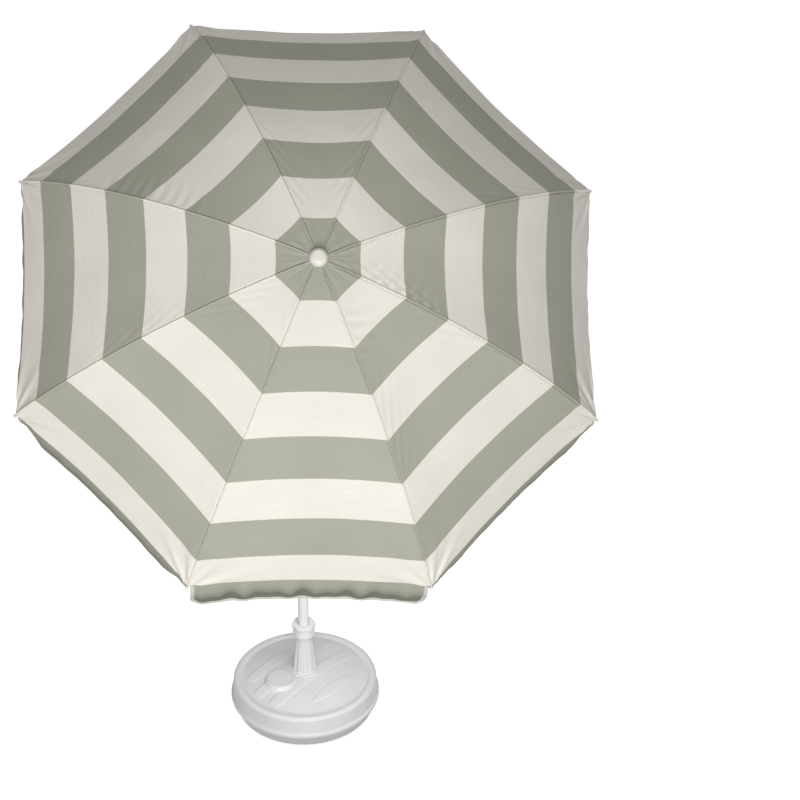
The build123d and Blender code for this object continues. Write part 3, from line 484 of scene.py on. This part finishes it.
rib_count = 8
rib_coat = powder_coat("white_coated_rib_wire", "#E4E3DE", "#D8D7D1")
for number in range(1, rib_count + 1):
    dress(rib_coat, f"rib_{number}", f"stretcher_{number}")
    dress(fitting_polymer, f"rib_tip_{number}")


# Canopy
# Eight panels of woven polyester in printed bands, sewn together over the ribs and pulled taut by them.
# Each piece here is the cloth over one rib, out to the middle of the panels on both sides.

lean = math.radians(46)
head_axis = np.array([0, -math.sin(lean), math.cos(lean)])
head_across = np.array([1.0, 0, 0])
head_up = np.array([0, math.cos(lean), math.sin(lean)])
pivot_height, head_length = 1240.0, 1020.0
crown = np.array([0, 0, pivot_height]) + head_axis * head_length
first_rib, half_gap = math.radians(18), math.radians(22.5)
hinge_radius, rib_arc = 18.0, 900.0
slope_start, slope_end = math.radians(2), math.radians(53)
rib_curve = rib_arc / (slope_end - slope_start)
cloth_seat, cloth_lift = 4.3, 5.0
cloth_inner, cloth_hem, hem_bow = -10.0, 893.0, 14.0
dip_depth, cloth_wall = 13.0, 0.0007
# Where the cloth is slack beside a seam: rib, side, start and end along the rib, depth of the folds.
slack_places = ((8, 1, 95, 350, 3.2), (7, 1, 110, 290, 1.6), (4, -1, 280, 640, 1.8))


def rib_directions(number):
    """Outwards along a rib and sideways across it."""
    angle = first_rib + (number - 1) * 2 * math.pi / rib_count
    outwards = head_across * math.cos(angle) + head_up * math.sin(angle)
    sideways = -head_across * math.sin(angle) + head_up * math.cos(angle)
    return outwards, sideways


def ease(low, high, value):
    """A smooth step from 0 at low to 1 at high."""
    t = np.clip((value - low) / (high - low), 0, 1)
    return t * t * (3 - 2 * t)


def over_rib(along, arc):
    """Slope of the cloth over a rib, its distance from the head's axis and its height from the crown."""
    slope = slope_start + along / rib_curve
    reach = rib_curve + cloth_seat + cloth_lift * (1 - arc / rib_arc)
    out = hinge_radius - rib_curve * math.sin(slope_start) + reach * np.sin(slope)
    up = -rib_curve * math.cos(slope_start) + reach * np.cos(slope)
    return slope, out, up


def half_width(arc):
    """Width of the cloth from a rib to the middle of the panel."""
    out = over_rib(arc, arc)[1]
    return out * math.sin(half_gap) * math.cos(half_gap)


def cloth_points(number, arc, share, side_mm, raised=0.0):
    """Places on the cloth's upper face: arc along the rib, share of the way to the middle of the panel."""
    outwards, sideways = rib_directions(number)
    hem_share = (arc - cloth_inner) / (cloth_hem - cloth_inner)
    far = np.abs(share)
    belly = 1 - (1 - far) ** 2
    along = arc - belly * hem_bow * np.maximum(hem_share, 0) ** 0.85
    slope, out, up = over_rib(along, arc)
    x = out * (1 - far * math.sin(half_gap) ** 2)
    y = share * out * math.sin(half_gap) * math.cos(half_gap)
    head_x = x * outwards.dot(head_across) + y * sideways.dot(head_across)
    head_y = x * outwards.dot(head_up) + y * sideways.dot(head_up)
    # Taut cloth dips a little between the ribs and never hangs quite even.
    dip = -dip_depth * belly * hem_share * (1.35 - 0.6 * hem_share)
    sway = (0.9 * np.sin(head_x / 61 + 1.3) * np.sin(head_y / 73 + 0.4)
            + 0.6 * np.sin((head_x + head_y) / 37 + 2.0) * np.sin((head_x - head_y) / 45 + 0.8))
    sway = sway * ease(0.05, 0.4, hem_share) * belly
    # Pleats fan out from the tip, where the cloth is gathered on the rib's end.
    from_tip = cloth_hem + 4 - along
    distance = np.hypot(from_tip, y)
    fan = np.arctan2(y, from_tip + 6)
    broad = 8.0 * np.abs(np.sin(4.6 * fan + 0.9 * number))
    fine = 3.6 * np.abs(np.sin(9.2 * fan + 2.1 * number))
    pleats = (broad + fine - 7.4) * np.exp(-(distance / 100) ** 2)
    pleats = pleats * ease(4, 40, distance) * ease(1.0, 0.55, far)
    # Short slanting puckers where a seam pulls unevenly.
    beside_seam = ease(3, 16, np.abs(side_mm)) * ease(1.0, 0.6, far)
    pull = 0.8 * np.sin(arc / 12 + 0.25 * np.abs(y) + 1.7 * number) * np.exp(-np.abs(y) / 36)
    pull = pull * beside_seam * ease(0.1, 0.9, np.sin(arc / 130 + 2.3 * number + np.sign(side_mm)))
    # On three panels the cloth is slack and draws into slanting folds beside the seam.
    slack = np.zeros_like(arc)
    for rib, side, start, end, depth in slack_places:
        if rib == number:
            there = ease(start, start + 50, arc) * ease(end, end - 90, arc) * (side_mm * side > 0)
            folds = depth * np.sin(arc / 5.1 - np.abs(y) / 9.0) * np.exp(-(y / 55) ** 2)
            slack = slack + there * folds * beside_seam
    # Small puckers round the crown, under the finial.
    pucker = 0.8 * np.cos(share * 7 + number) * np.exp(-((arc - 45) / 45) ** 2) * ease(1.0, 0.6, far)
    # The felled seam over the rib: two folded layers, thicker on one side and drawn in hard beside it.
    fold = ease(2.4, 1.9, np.abs(side_mm))
    groove = np.exp(-((np.abs(side_mm) - 3.1) / 0.9) ** 2) * np.where(side_mm < 0, 2.0, 0.4)
    seam = ((1.4 + 0.7 * ease(-0.9, 0.2, -side_mm)) * fold - groove) * ease(-10, 25, arc)
    rise = dip + sway + pleats + pull + slack + pucker + seam + raised
    veer = share * half_gap
    x = x + rise * np.sin(slope) * np.cos(veer)
    y = y + rise * np.sin(slope) * np.sin(veer)
    up = up + rise * np.cos(slope)
    return (crown + x[..., None] * outwards + y[..., None] * sideways + up[..., None] * head_axis) / 1000


seam_columns = np.array([0.0, 0.4, 1.1, 1.8, 2.1, 2.5, 2.9, 3.4, 4.0, 5.0, 9.0])
panel_columns = np.linspace(0, 1, 45)[1:] ** 1.3
arc_rows = np.concatenate([
    np.linspace(cloth_inner, 60, 14), np.linspace(66, 780, 128), np.linspace(785, cloth_hem, 22)])
first_band, band, weave_pitch = 93.0, 118.5, 1.6


def cloth_material(name, green, cream, sheen, lower_shade_level=1.0):
    """Woven polyester, matt with a soft sheen: printed bands, slubs in the yarn, and painted shade that may
    darken the lower edge.
    """
    material = new_material(name)
    tree = material.node_tree
    place = add_node(tree, "ShaderNodeUVMap", {"uv_map": "Cloth"}).outputs["UV"]
    split = add_node(tree, "ShaderNodeSeparateXYZ", inputs={0: place})
    # The bands change over with the distance from the crown, and their edges bleed a little in print.
    bleed = add_node(tree, "ShaderNodeTexNoise", inputs={
        "Vector": place, "Scale": 1000 / 5, "Detail": 1.0})
    wander = add_node(tree, "ShaderNodeMath", {"operation": "MULTIPLY_ADD"}, {
        0: bleed.outputs["Fac"], 1: 0.0007, 2: split.outputs["Y"]})
    count = add_node(tree, "ShaderNodeMath", {"operation": "MULTIPLY_ADD"}, {
        0: wander.outputs[0], 1: 1000 / band, 2: 1 - first_band / band})
    half = add_node(tree, "ShaderNodeMath", {"operation": "MULTIPLY"}, {0: count.outputs[0], 1: 0.5})
    turnover = add_node(tree, "ShaderNodeMath", {"operation": "FRACT"}, {0: half.outputs[0]})
    is_cream = add_node(tree, "ShaderNodeMath", {"operation": "GREATER_THAN"}, {
        0: turnover.outputs[0], 1: 0.5})
    print_tint = add_node(tree, "ShaderNodeMix", {"data_type": "RGBA"}, {
        0: is_cream.outputs[0], 6: linear(green), 7: linear(cream)})
    # Slubs run along the yarn, and the dye fades in wide patches.
    slub_place = add_node(tree, "ShaderNodeMapping", inputs={
        "Vector": place, "Scale": (1000 / 90, 1000 / 4, 1)})
    slub = add_node(tree, "ShaderNodeTexNoise", inputs={
        "Vector": slub_place.outputs[0], "Scale": 1.0, "Detail": 3.0})
    fade = add_node(tree, "ShaderNodeTexNoise", inputs={
        "Vector": place, "Scale": 1000 / 160, "Detail": 2.0})
    tone = add_node(tree, "ShaderNodeMath", {"operation": "ADD"}, {
        0: slub.outputs["Fac"], 1: fade.outputs["Fac"]})
    dim = add_node(tree, "ShaderNodeMapRange", inputs={
        "Value": tone.outputs[0], "From Min": 0.7, "From Max": 1.3, "To Min": 0.95, "To Max": 1.03})
    # Painted shade: the colour darkens towards the lower edge, down to the given level; 1 leaves it even.
    painted_lower_shade = add_node(tree, "ShaderNodeMapRange", {"interpolation_type": "SMOOTHSTEP"}, {
        "Value": split.outputs["Y"], "From Min": 0.015, "From Max": 0.1, "To Min": 1.0, "To Max": lower_shade_level})
    level = add_node(tree, "ShaderNodeMath", {"operation": "MULTIPLY"}, {
        0: dim.outputs["Result"], 1: painted_lower_shade.outputs["Result"]})
    tint = add_node(tree, "ShaderNodeVectorMath", {"operation": "SCALE"}, {
        0: print_tint.outputs[2], "Scale": level.outputs[0]})
    # The real yarns lie 0.4 mm apart, too fine to show, so the weave is drawn coarser.
    weave_scale = 1000 / weave_pitch / 20 * math.pi
    warp = add_node(tree, "ShaderNodeTexWave", {"bands_direction": "X"}, {
        "Vector": place, "Scale": weave_scale})
    weft = add_node(tree, "ShaderNodeTexWave", {"bands_direction": "Y"}, {
        "Vector": place, "Scale": weave_scale})
    weave = add_node(tree, "ShaderNodeMath", {"operation": "MULTIPLY"}, {
        0: warp.outputs["Fac"], 1: weft.outputs["Fac"]})
    bump = add_node(tree, "ShaderNodeBump", inputs={
        "Height": weave.outputs[0], "Strength": 0.25, "Distance": 0.0003})
    skin = add_node(tree, "ShaderNodeBsdfPrincipled", inputs={
        "Base Color": tint.outputs[0], "Roughness": 0.82, "Specular IOR Level": 0.2,
        "Sheen Weight": sheen, "Sheen Roughness": 0.5, "Normal": bump.outputs["Normal"]})
    add_node(tree, "ShaderNodeOutputMaterial", inputs={"Surface": skin.outputs["BSDF"]})
    return material


upper_cloth = cloth_material("woven_polyester_printed_bands", "#A7A899", "#E7E2D9", 0.05)
under_cloth = cloth_material("woven_polyester_reverse", "#A9AA9C", "#DCD7CE", 0.03)


def apply_modifiers(piece):
    """Turn a piece with live modifiers into a plain mesh."""
    bpy.context.view_layer.update()
    graph = bpy.context.evaluated_depsgraph_get()
    ready = piece.evaluated_get(graph)
    mesh = bpy.data.meshes.new_from_object(ready, preserve_all_data_layers=True, depsgraph=graph)
    piece.modifiers.clear()
    piece.data = mesh
    mesh.name = piece.name
    mesh.set_sharp_from_angle(angle=math.radians(60))
    return piece


joint_gap, joint_overlap, joint_tuck = 0.03, 0.6, 0.05
panels = []
for number in range(1, rib_count + 1):
    width = half_width(arc_rows)[:, None]
    seam_scale = np.minimum(1.0, 0.45 * np.maximum(width, 0.5) / seam_columns[-1])
    seam_part = seam_columns[None, :] * seam_scale
    panel_part = seam_part[:, -1:] + (width - joint_gap - seam_part[:, -1:]) * panel_columns[None, :]
    edge = panel_part[:, -1:]
    last_step = np.minimum(joint_overlap, 0.5 * (edge - panel_part[:, -2:-1]))
    one_side = np.hstack([seam_part, panel_part[:, :-1], edge - last_step, edge])
    # One edge tucks in a hair under the next piece, so no light shows where the two meet.
    side_mm = np.hstack([-one_side[:, :0:-1], one_side, width + joint_overlap])
    tuck = np.zeros_like(side_mm)
    tuck[:, -1] = -joint_tuck
    share = side_mm / width
    arc = np.repeat(arc_rows[:, None], side_mm.shape[1], axis=1)
    # The grain runs along the middle of each panel, so it meets where two pieces do and breaks at the seam.
    grain_here = np.where(side_mm >= 0, number, (number - 2) % rib_count + 1)
    grain_across = np.where(side_mm >= 0, side_mm - width, side_mm + width)
    uv = np.stack([grain_across / 1000 + 0.7 * grain_here, arc / 1000], axis=-1)
    places = cloth_points(number, arc, share, side_mm, tuck)
    panel = grid_object(f"canopy_panel_{number}", places[:, ::-1], uv=uv[:, ::-1])
    panel.data.materials.append(upper_cloth)
    panel.data.materials.append(under_cloth)
    wall = panel.modifiers.new("Wall", "SOLIDIFY")
    wall.thickness = cloth_wall
    wall.offset = -1.0
    wall.material_offset = 1
    panels.append(apply_modifiers(panel))


# Valance
# A plain green flap hangs from the hem of every panel, with round corners at the ribs.
# Its edge is wrapped in a pale folded tape, sewn through.

valance_drop, valance_gap, valance_corner, turning = 120.0, 7.0, 26.0, 70.0
flap_rows = np.linspace(0, 1, 17)
flap_columns = np.concatenate([np.linspace(0, 0.12, 12), np.linspace(0.14, 1, 50)])
flap_half = half_width(np.array([cloth_hem]))[0] - joint_gap


def flap_points(number, side, along_mm, down_mm):
    """Places on one half of a flap and its facing, by the distances from the rib and down from the hem."""
    outwards, sideways = rib_directions(number)
    sewn_at = np.full_like(along_mm, cloth_hem - 1.0)
    clear_of_seam = np.full_like(along_mm, 30.0)
    top = cloth_points(number, sewn_at, side * along_mm / flap_half, clear_of_seam, -0.9)
    panel_out = outwards * math.cos(half_gap) + sideways * side * math.sin(half_gap)
    # Every flap curls under the hem, and the lowest one swings forward by its own weight.
    hanging = max(0.0, -panel_out.dot(head_up)) ** 8
    lean_top = np.radians(74 - 32 * hanging + 8 * (1 - hanging) * ease(90, 10, along_mm))
    curl_in = math.radians(20 + 36 * hanging) / turning
    curl_out = -math.radians(8 + 34 * hanging) / (valance_drop - turning)
    # Down to the turning the flap curls in, and from there its bound edge kicks out again.
    upper = np.minimum(down_mm, turning)
    lean_upper = lean_top + curl_in * upper
    lean_here = lean_upper + curl_out * (down_mm - upper)
    out = ((np.sin(lean_upper) - np.sin(lean_top)) / curl_in
           + (np.sin(lean_here) - np.sin(lean_upper)) / curl_out)
    back = ((np.cos(lean_top) - np.cos(lean_upper)) / curl_in
            + (np.cos(lean_upper) - np.cos(lean_here)) / curl_out)
    # It is sewn on a little full, so its free edge runs in uneven shallow waves.
    panel = number if side > 0 else number - 1
    across = side * (along_mm - flap_half)
    fall = np.clip(down_mm / valance_drop, 0, 1.1)
    wave = 2.4 * np.cos(across / 14.3 + 1.7 * panel) + 2.0 * np.cos(across / 8.7 + 2.9 * panel)
    swell = np.sin(math.pi * np.clip(fall, 0, 1)) + 0.3 * fall
    wave = wave * swell * ease(0, 45, along_mm) * (0.3 + 1.3 * hanging)
    face = np.sin(lean_here)[..., None] * panel_out + np.cos(lean_here)[..., None] * head_axis
    place = out[..., None] * panel_out - back[..., None] * head_axis + wave[..., None] * face
    return top + place / 1000, face


def flap_length(along_mm):
    """Height of the flap at a distance from the rib, with its corner rounded."""
    inside = np.clip(valance_corner - (along_mm - valance_gap), 0, valance_corner)
    return valance_drop - valance_corner + np.sqrt(valance_corner ** 2 - inside ** 2)


# Towards its lower edge the flap is darkened to half with painted shade.
valance_cloth = cloth_material("woven_polyester_green", "#A0A192", "#A0A192", 0.03, 0.5)
binding_cotton = cloth_material("pale_cotton_binding", "#CBCAC1", "#CBCAC1", 0.1)
# The folded tape's section: how far in from the flap's edge, and how far out from its face.
tape_section = ((8.5, 0.25), (8.2, 1.0), (4.0, 1.15), (0.4, 1.0), (-0.9, 0.1), (-0.9, -0.8),
                (0.4, -1.7), (4.0, -1.85), (8.2, -1.7), (8.5, -0.95))
valances = []
bindings = []
for number in range(1, rib_count + 1):
    halves = []
    tapes = []
    for side in (1, -1):
        columns = np.repeat(flap_columns[None, :], len(flap_rows), axis=0)
        along = valance_gap + (flap_half - valance_gap) * columns
        down = flap_rows[:, None] * flap_length(along)
        points = flap_points(number, side, along, down)[0]
        uv = np.stack([along / 1000, down / 1000], axis=-1)
        half = grid_object("flap", points[:, ::side], uv=uv[:, ::side])
        half.data.materials.append(valance_cloth)
        wall = half.modifiers.new("Wall", "SOLIDIFY")
        wall.thickness = cloth_wall
        wall.offset = -1.0
        halves.append(apply_modifiers(half))
        # The tape runs down the rib side, round the corner and along the lower edge.
        side_down = np.linspace(2, valance_drop - valance_corner, 10)[:-1]
        bend = np.linspace(0, math.pi / 2, 10)
        edge_along = np.concatenate([
            np.full(len(side_down), valance_gap), valance_gap + valance_corner * (1 - np.cos(bend)),
            np.linspace(valance_gap + valance_corner, flap_half, 44)[1:]])
        edge_down = np.concatenate([
            side_down, valance_drop - valance_corner + valance_corner * np.sin(bend),
            np.full(43, valance_drop)])
        tangent = np.stack([np.gradient(edge_along), np.gradient(edge_down)], axis=-1)
        tangent /= np.linalg.norm(tangent, axis=1)[:, None]
        inward = np.stack([tangent[:, 1], -tangent[:, 0]], axis=-1)
        rows = []
        for inset, proud in tape_section:
            inset_along = edge_along + inward[:, 0] * inset
            inset_down = edge_down + inward[:, 1] * inset
            place, face = flap_points(number, side, inset_along, inset_down)
            rows.append(place + proud * face / 1000)
        tape_points = np.stack(rows)
        run = np.cumsum(np.hypot(np.gradient(edge_along), np.gradient(edge_down)))
        tape_run = np.repeat(run[None, :], len(rows), axis=0)
        tape_across = np.repeat(np.arange(len(rows))[:, None] * 2.0, len(run), axis=1)
        tape_uv = np.stack([tape_run, tape_across], axis=-1) / 1000
        tape = grid_object("tape", tape_points[:, ::-side], wrap_rows=True, uv=tape_uv[:, ::-side])
        tape.data.materials.append(binding_cotton)
        tapes.append(tape)
    valances.append(join(f"valance_{number}", halves))
    bindings.append(join(f"valance_binding_{number}", tapes))


# Stitches
# Two rows of lock stitch on each seam, one along the hem and one along the binding.
# Pale polyester thread; the real stitches are 3 mm long and are drawn a little coarser to show.

thread = moulded_plastic("pale_polyester_thread", "#D9D7CC", "#C9C7BB", 0.6, 1.0, 0.1)
stitch_tree = bpy.data.node_groups.new("stitch_row", "GeometryNodeTree")
for label, kind in (("Seam", "NodeSocketGeometry"), ("Stitch pitch", "NodeSocketFloat"),
                    ("Stitch length", "NodeSocketFloat"), ("Thread thickness", "NodeSocketFloat"),
                    ("Thread", "NodeSocketMaterial")):
    stitch_tree.interface.new_socket(label, in_out="INPUT", socket_type=kind)
stitch_tree.interface.new_socket("Stitches", in_out="OUTPUT", socket_type="NodeSocketGeometry")
seam_in = add_node(stitch_tree, "NodeGroupInput")
seam_curve = add_node(stitch_tree, "GeometryNodeMeshToCurve", inputs={"Mesh": seam_in.outputs["Seam"]})
seam_points = add_node(stitch_tree, "GeometryNodeResampleCurve", {"mode": "LENGTH"}, {
    "Curve": seam_curve.outputs["Curve"], "Length": seam_in.outputs["Stitch pitch"]})
seam_tangent = add_node(stitch_tree, "GeometryNodeInputTangent")
seam_turn = add_node(stitch_tree, "FunctionNodeAlignRotationToVector", {"axis": "X"}, {
    "Vector": seam_tangent.outputs["Tangent"]})
stitch_shape = add_node(stitch_tree, "GeometryNodeMeshUVSphere", inputs={
    "Segments": 6, "Rings": 4, "Radius": 0.5})
stitch_size = add_node(stitch_tree, "ShaderNodeCombineXYZ", inputs={
    "X": seam_in.outputs["Stitch length"], "Y": seam_in.outputs["Thread thickness"],
    "Z": seam_in.outputs["Thread thickness"]})
stitch_row = add_node(stitch_tree, "GeometryNodeInstanceOnPoints", inputs={
    "Points": seam_points.outputs["Curve"], "Instance": stitch_shape.outputs["Mesh"],
    "Rotation": seam_turn.outputs["Rotation"], "Scale": stitch_size.outputs["Vector"]})
stitch_mesh = add_node(stitch_tree, "GeometryNodeRealizeInstances", inputs={
    "Geometry": stitch_row.outputs["Instances"]})
stitch_dressed = add_node(stitch_tree, "GeometryNodeSetMaterial", inputs={
    "Geometry": stitch_mesh.outputs["Geometry"], "Material": seam_in.outputs["Thread"]})
add_node(stitch_tree, "NodeGroupOutput", inputs={"Stitches": stitch_dressed.outputs["Geometry"]})

stitch_sizes = {
    "Stitch pitch": 0.006, "Stitch length": 0.0042, "Thread thickness": 0.0009, "Thread": thread}
# How far the rows lie from the seam's middle, from the hem and from the valance's lower edge.
seam_row, hem_row, tape_row = 1.2, 5.0, 6.6
# How far the thread lies out from the cloth, and the tape's outer face from the flap.
thread_proud, tape_proud = 0.1, 1.15
hem_width = half_width(np.array([cloth_hem - hem_row]))[0]
seam_arc = np.linspace(35, cloth_hem - 4, 150)
hem_side = np.linspace(8, hem_width - 2, 90)
hem_arc = np.full_like(hem_side, cloth_hem - hem_row)
tape_along = np.linspace(valance_gap + valance_corner, hem_width - 2, 80)
tape_down = np.full_like(tape_along, valance_drop - tape_row)
stitches = []
for number in range(1, rib_count + 1):
    lines = []
    for offset in (-seam_row, seam_row):
        seam_side = np.full_like(seam_arc, offset)
        lines.append(cloth_points(number, seam_arc, offset / half_width(seam_arc), seam_side, thread_proud))
    for side in (1, -1):
        hem_share = side * hem_side / hem_width
        lines.append(cloth_points(number, hem_arc, hem_share, hem_side + 8, thread_proud))
        place, face = flap_points(number, side, tape_along, tape_down)
        lines.append(place + tape_proud * face / 1000)
    seam_places = np.vstack(lines)
    seam_edges = []
    start = 0
    for line in lines:
        seam_edges += [(start + i, start + i + 1) for i in range(len(line) - 1)]
        start += len(line)
    seam_mesh = bpy.data.meshes.new(f"canopy_stitches_{number}")
    seam_mesh.from_pydata(seam_places.tolist(), seam_edges, [])
    row = bpy.data.objects.new(f"canopy_stitches_{number}", seam_mesh)
    bpy.context.scene.collection.objects.link(row)
    sewing = row.modifiers.new("Stitches", "NODES")
    sewing.node_group = stitch_tree
    for socket in stitch_tree.interface.items_tree:
        if socket.in_out == "INPUT" and socket.name in stitch_sizes:
            sewing[socket.identifier] = stitch_sizes[socket.name]
    stitches.append(apply_modifiers(row))

for number in range(1, rib_count + 1):
    panel, valance = panels[number - 1], valances[number - 1]
    binding, row = bindings[number - 1], stitches[number - 1]
    for piece in (panel, valance, binding, row):
        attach(piece, f"rib_{number}")
        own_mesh(piece)
    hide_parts(f"gore_{number}")


# Finial
# The cap that clamps the middle of the cloth to the crown: a low dome with a flat top.
# Moulded ABS, screwed down on the hub's stud.

# Smoother than the other fittings, so it takes a small clear highlight.
finial_polymer = moulded_plastic("ivory_moulded_abs", "#E8E6DE", "#DFDCD3", 0.34, 1.4, 0.1)
dress(finial_polymer, "finial")


# Studio
# A pale floor that keeps the soft shadow, a broad lamp in front, a small one over the base, an even fill.
# The camera stands in front, above the canopy, on a long lens.

floor_mesh = bpy.data.meshes.new("floor")
floor_mesh.from_pydata([(-30, -30, 0), (30, -30, 0), (30, 30, 0), (-30, 30, 0)], [], [(0, 1, 2, 3)])
floor = bpy.data.objects.new("floor", floor_mesh)
bpy.context.scene.collection.objects.link(floor)
floor_paint = new_material("pale_studio_floor")
floor_tree = floor_paint.node_tree
floor_rays = add_node(floor_tree, "ShaderNodeLightPath")
floor_matt = add_node(floor_tree, "ShaderNodeBsdfDiffuse", inputs={"Color": linear("#E6E6E6")})
floor_bounce = add_node(floor_tree, "ShaderNodeBsdfDiffuse", inputs={"Color": linear("#8C8C8C")})
floor_white = add_node(floor_tree, "ShaderNodeEmission", inputs={"Color": (1, 1, 1, 1), "Strength": 0.66})
floor_lift = add_node(floor_tree, "ShaderNodeAddShader", inputs={
    0: floor_matt.outputs["BSDF"], 1: floor_white.outputs["Emission"]})
floor_seen = add_node(floor_tree, "ShaderNodeMath", {"operation": "MAXIMUM"}, {
    0: floor_rays.outputs["Is Camera Ray"], 1: floor_rays.outputs["Is Glossy Ray"]})
floor_mix = add_node(floor_tree, "ShaderNodeMixShader", inputs={
    0: floor_seen.outputs[0], 1: floor_bounce.outputs["BSDF"], 2: floor_lift.outputs["Shader"]})
add_node(floor_tree, "ShaderNodeOutputMaterial", inputs={"Surface": floor_mix.outputs["Shader"]})
floor_mesh.materials.append(floor_paint)

world = bpy.data.worlds.new("studio")
bpy.context.scene.world = world
world.use_nodes = True
world.node_tree.nodes.clear()
sky_rays = add_node(world.node_tree, "ShaderNodeLightPath")
sky_seen = add_node(world.node_tree, "ShaderNodeMath", {"operation": "MAXIMUM"}, {
    0: sky_rays.outputs["Is Camera Ray"], 1: sky_rays.outputs["Is Glossy Ray"]})
sky_level = add_node(world.node_tree, "ShaderNodeMapRange", inputs={
    "Value": sky_seen.outputs[0], "To Min": 0.47, "To Max": 1.0})
sky = add_node(world.node_tree, "ShaderNodeBackground", inputs={
    "Color": (1, 1, 1, 1), "Strength": sky_level.outputs["Result"]})
add_node(world.node_tree, "ShaderNodeOutputWorld", inputs={"Surface": sky.outputs["Background"]})


def softbox(name, place, target, size, watts):
    """A square area lamp facing a point."""
    lamp = bpy.data.lights.new(name, "AREA")
    lamp.shape = "SQUARE"
    lamp.size = size
    lamp.energy = watts
    holder = bpy.data.objects.new(name, lamp)
    holder.location = place
    aim = Vector(target) - holder.location
    holder.rotation_euler = aim.to_track_quat("-Z", "Y").to_euler()
    bpy.context.scene.collection.objects.link(holder)


softbox("key_softbox", (-0.8, -7.0, 1.7), (0, -0.7, 1.4), 3.4, 330)
softbox("base_softbox", (0.15, -0.42, 1.15), (0, 0, 0.08), 0.6, 7.4)

camera_drop, camera_turn = math.radians(32.205), math.radians(-7.400)
camera_data = bpy.data.cameras.new("camera")
camera_data.sensor_width = 36
camera_data.lens = 108
camera_data.clip_end = 100
camera = bpy.data.objects.new("camera", camera_data)
camera.location = (-0.4515, -5.7186, 4.7032)
camera.rotation_euler = (math.pi / 2 - camera_drop, 0, camera_turn)
bpy.context.scene.collection.objects.link(camera)
bpy.context.scene.camera = camera
bpy.context.scene.view_settings.view_transform = "Standard"
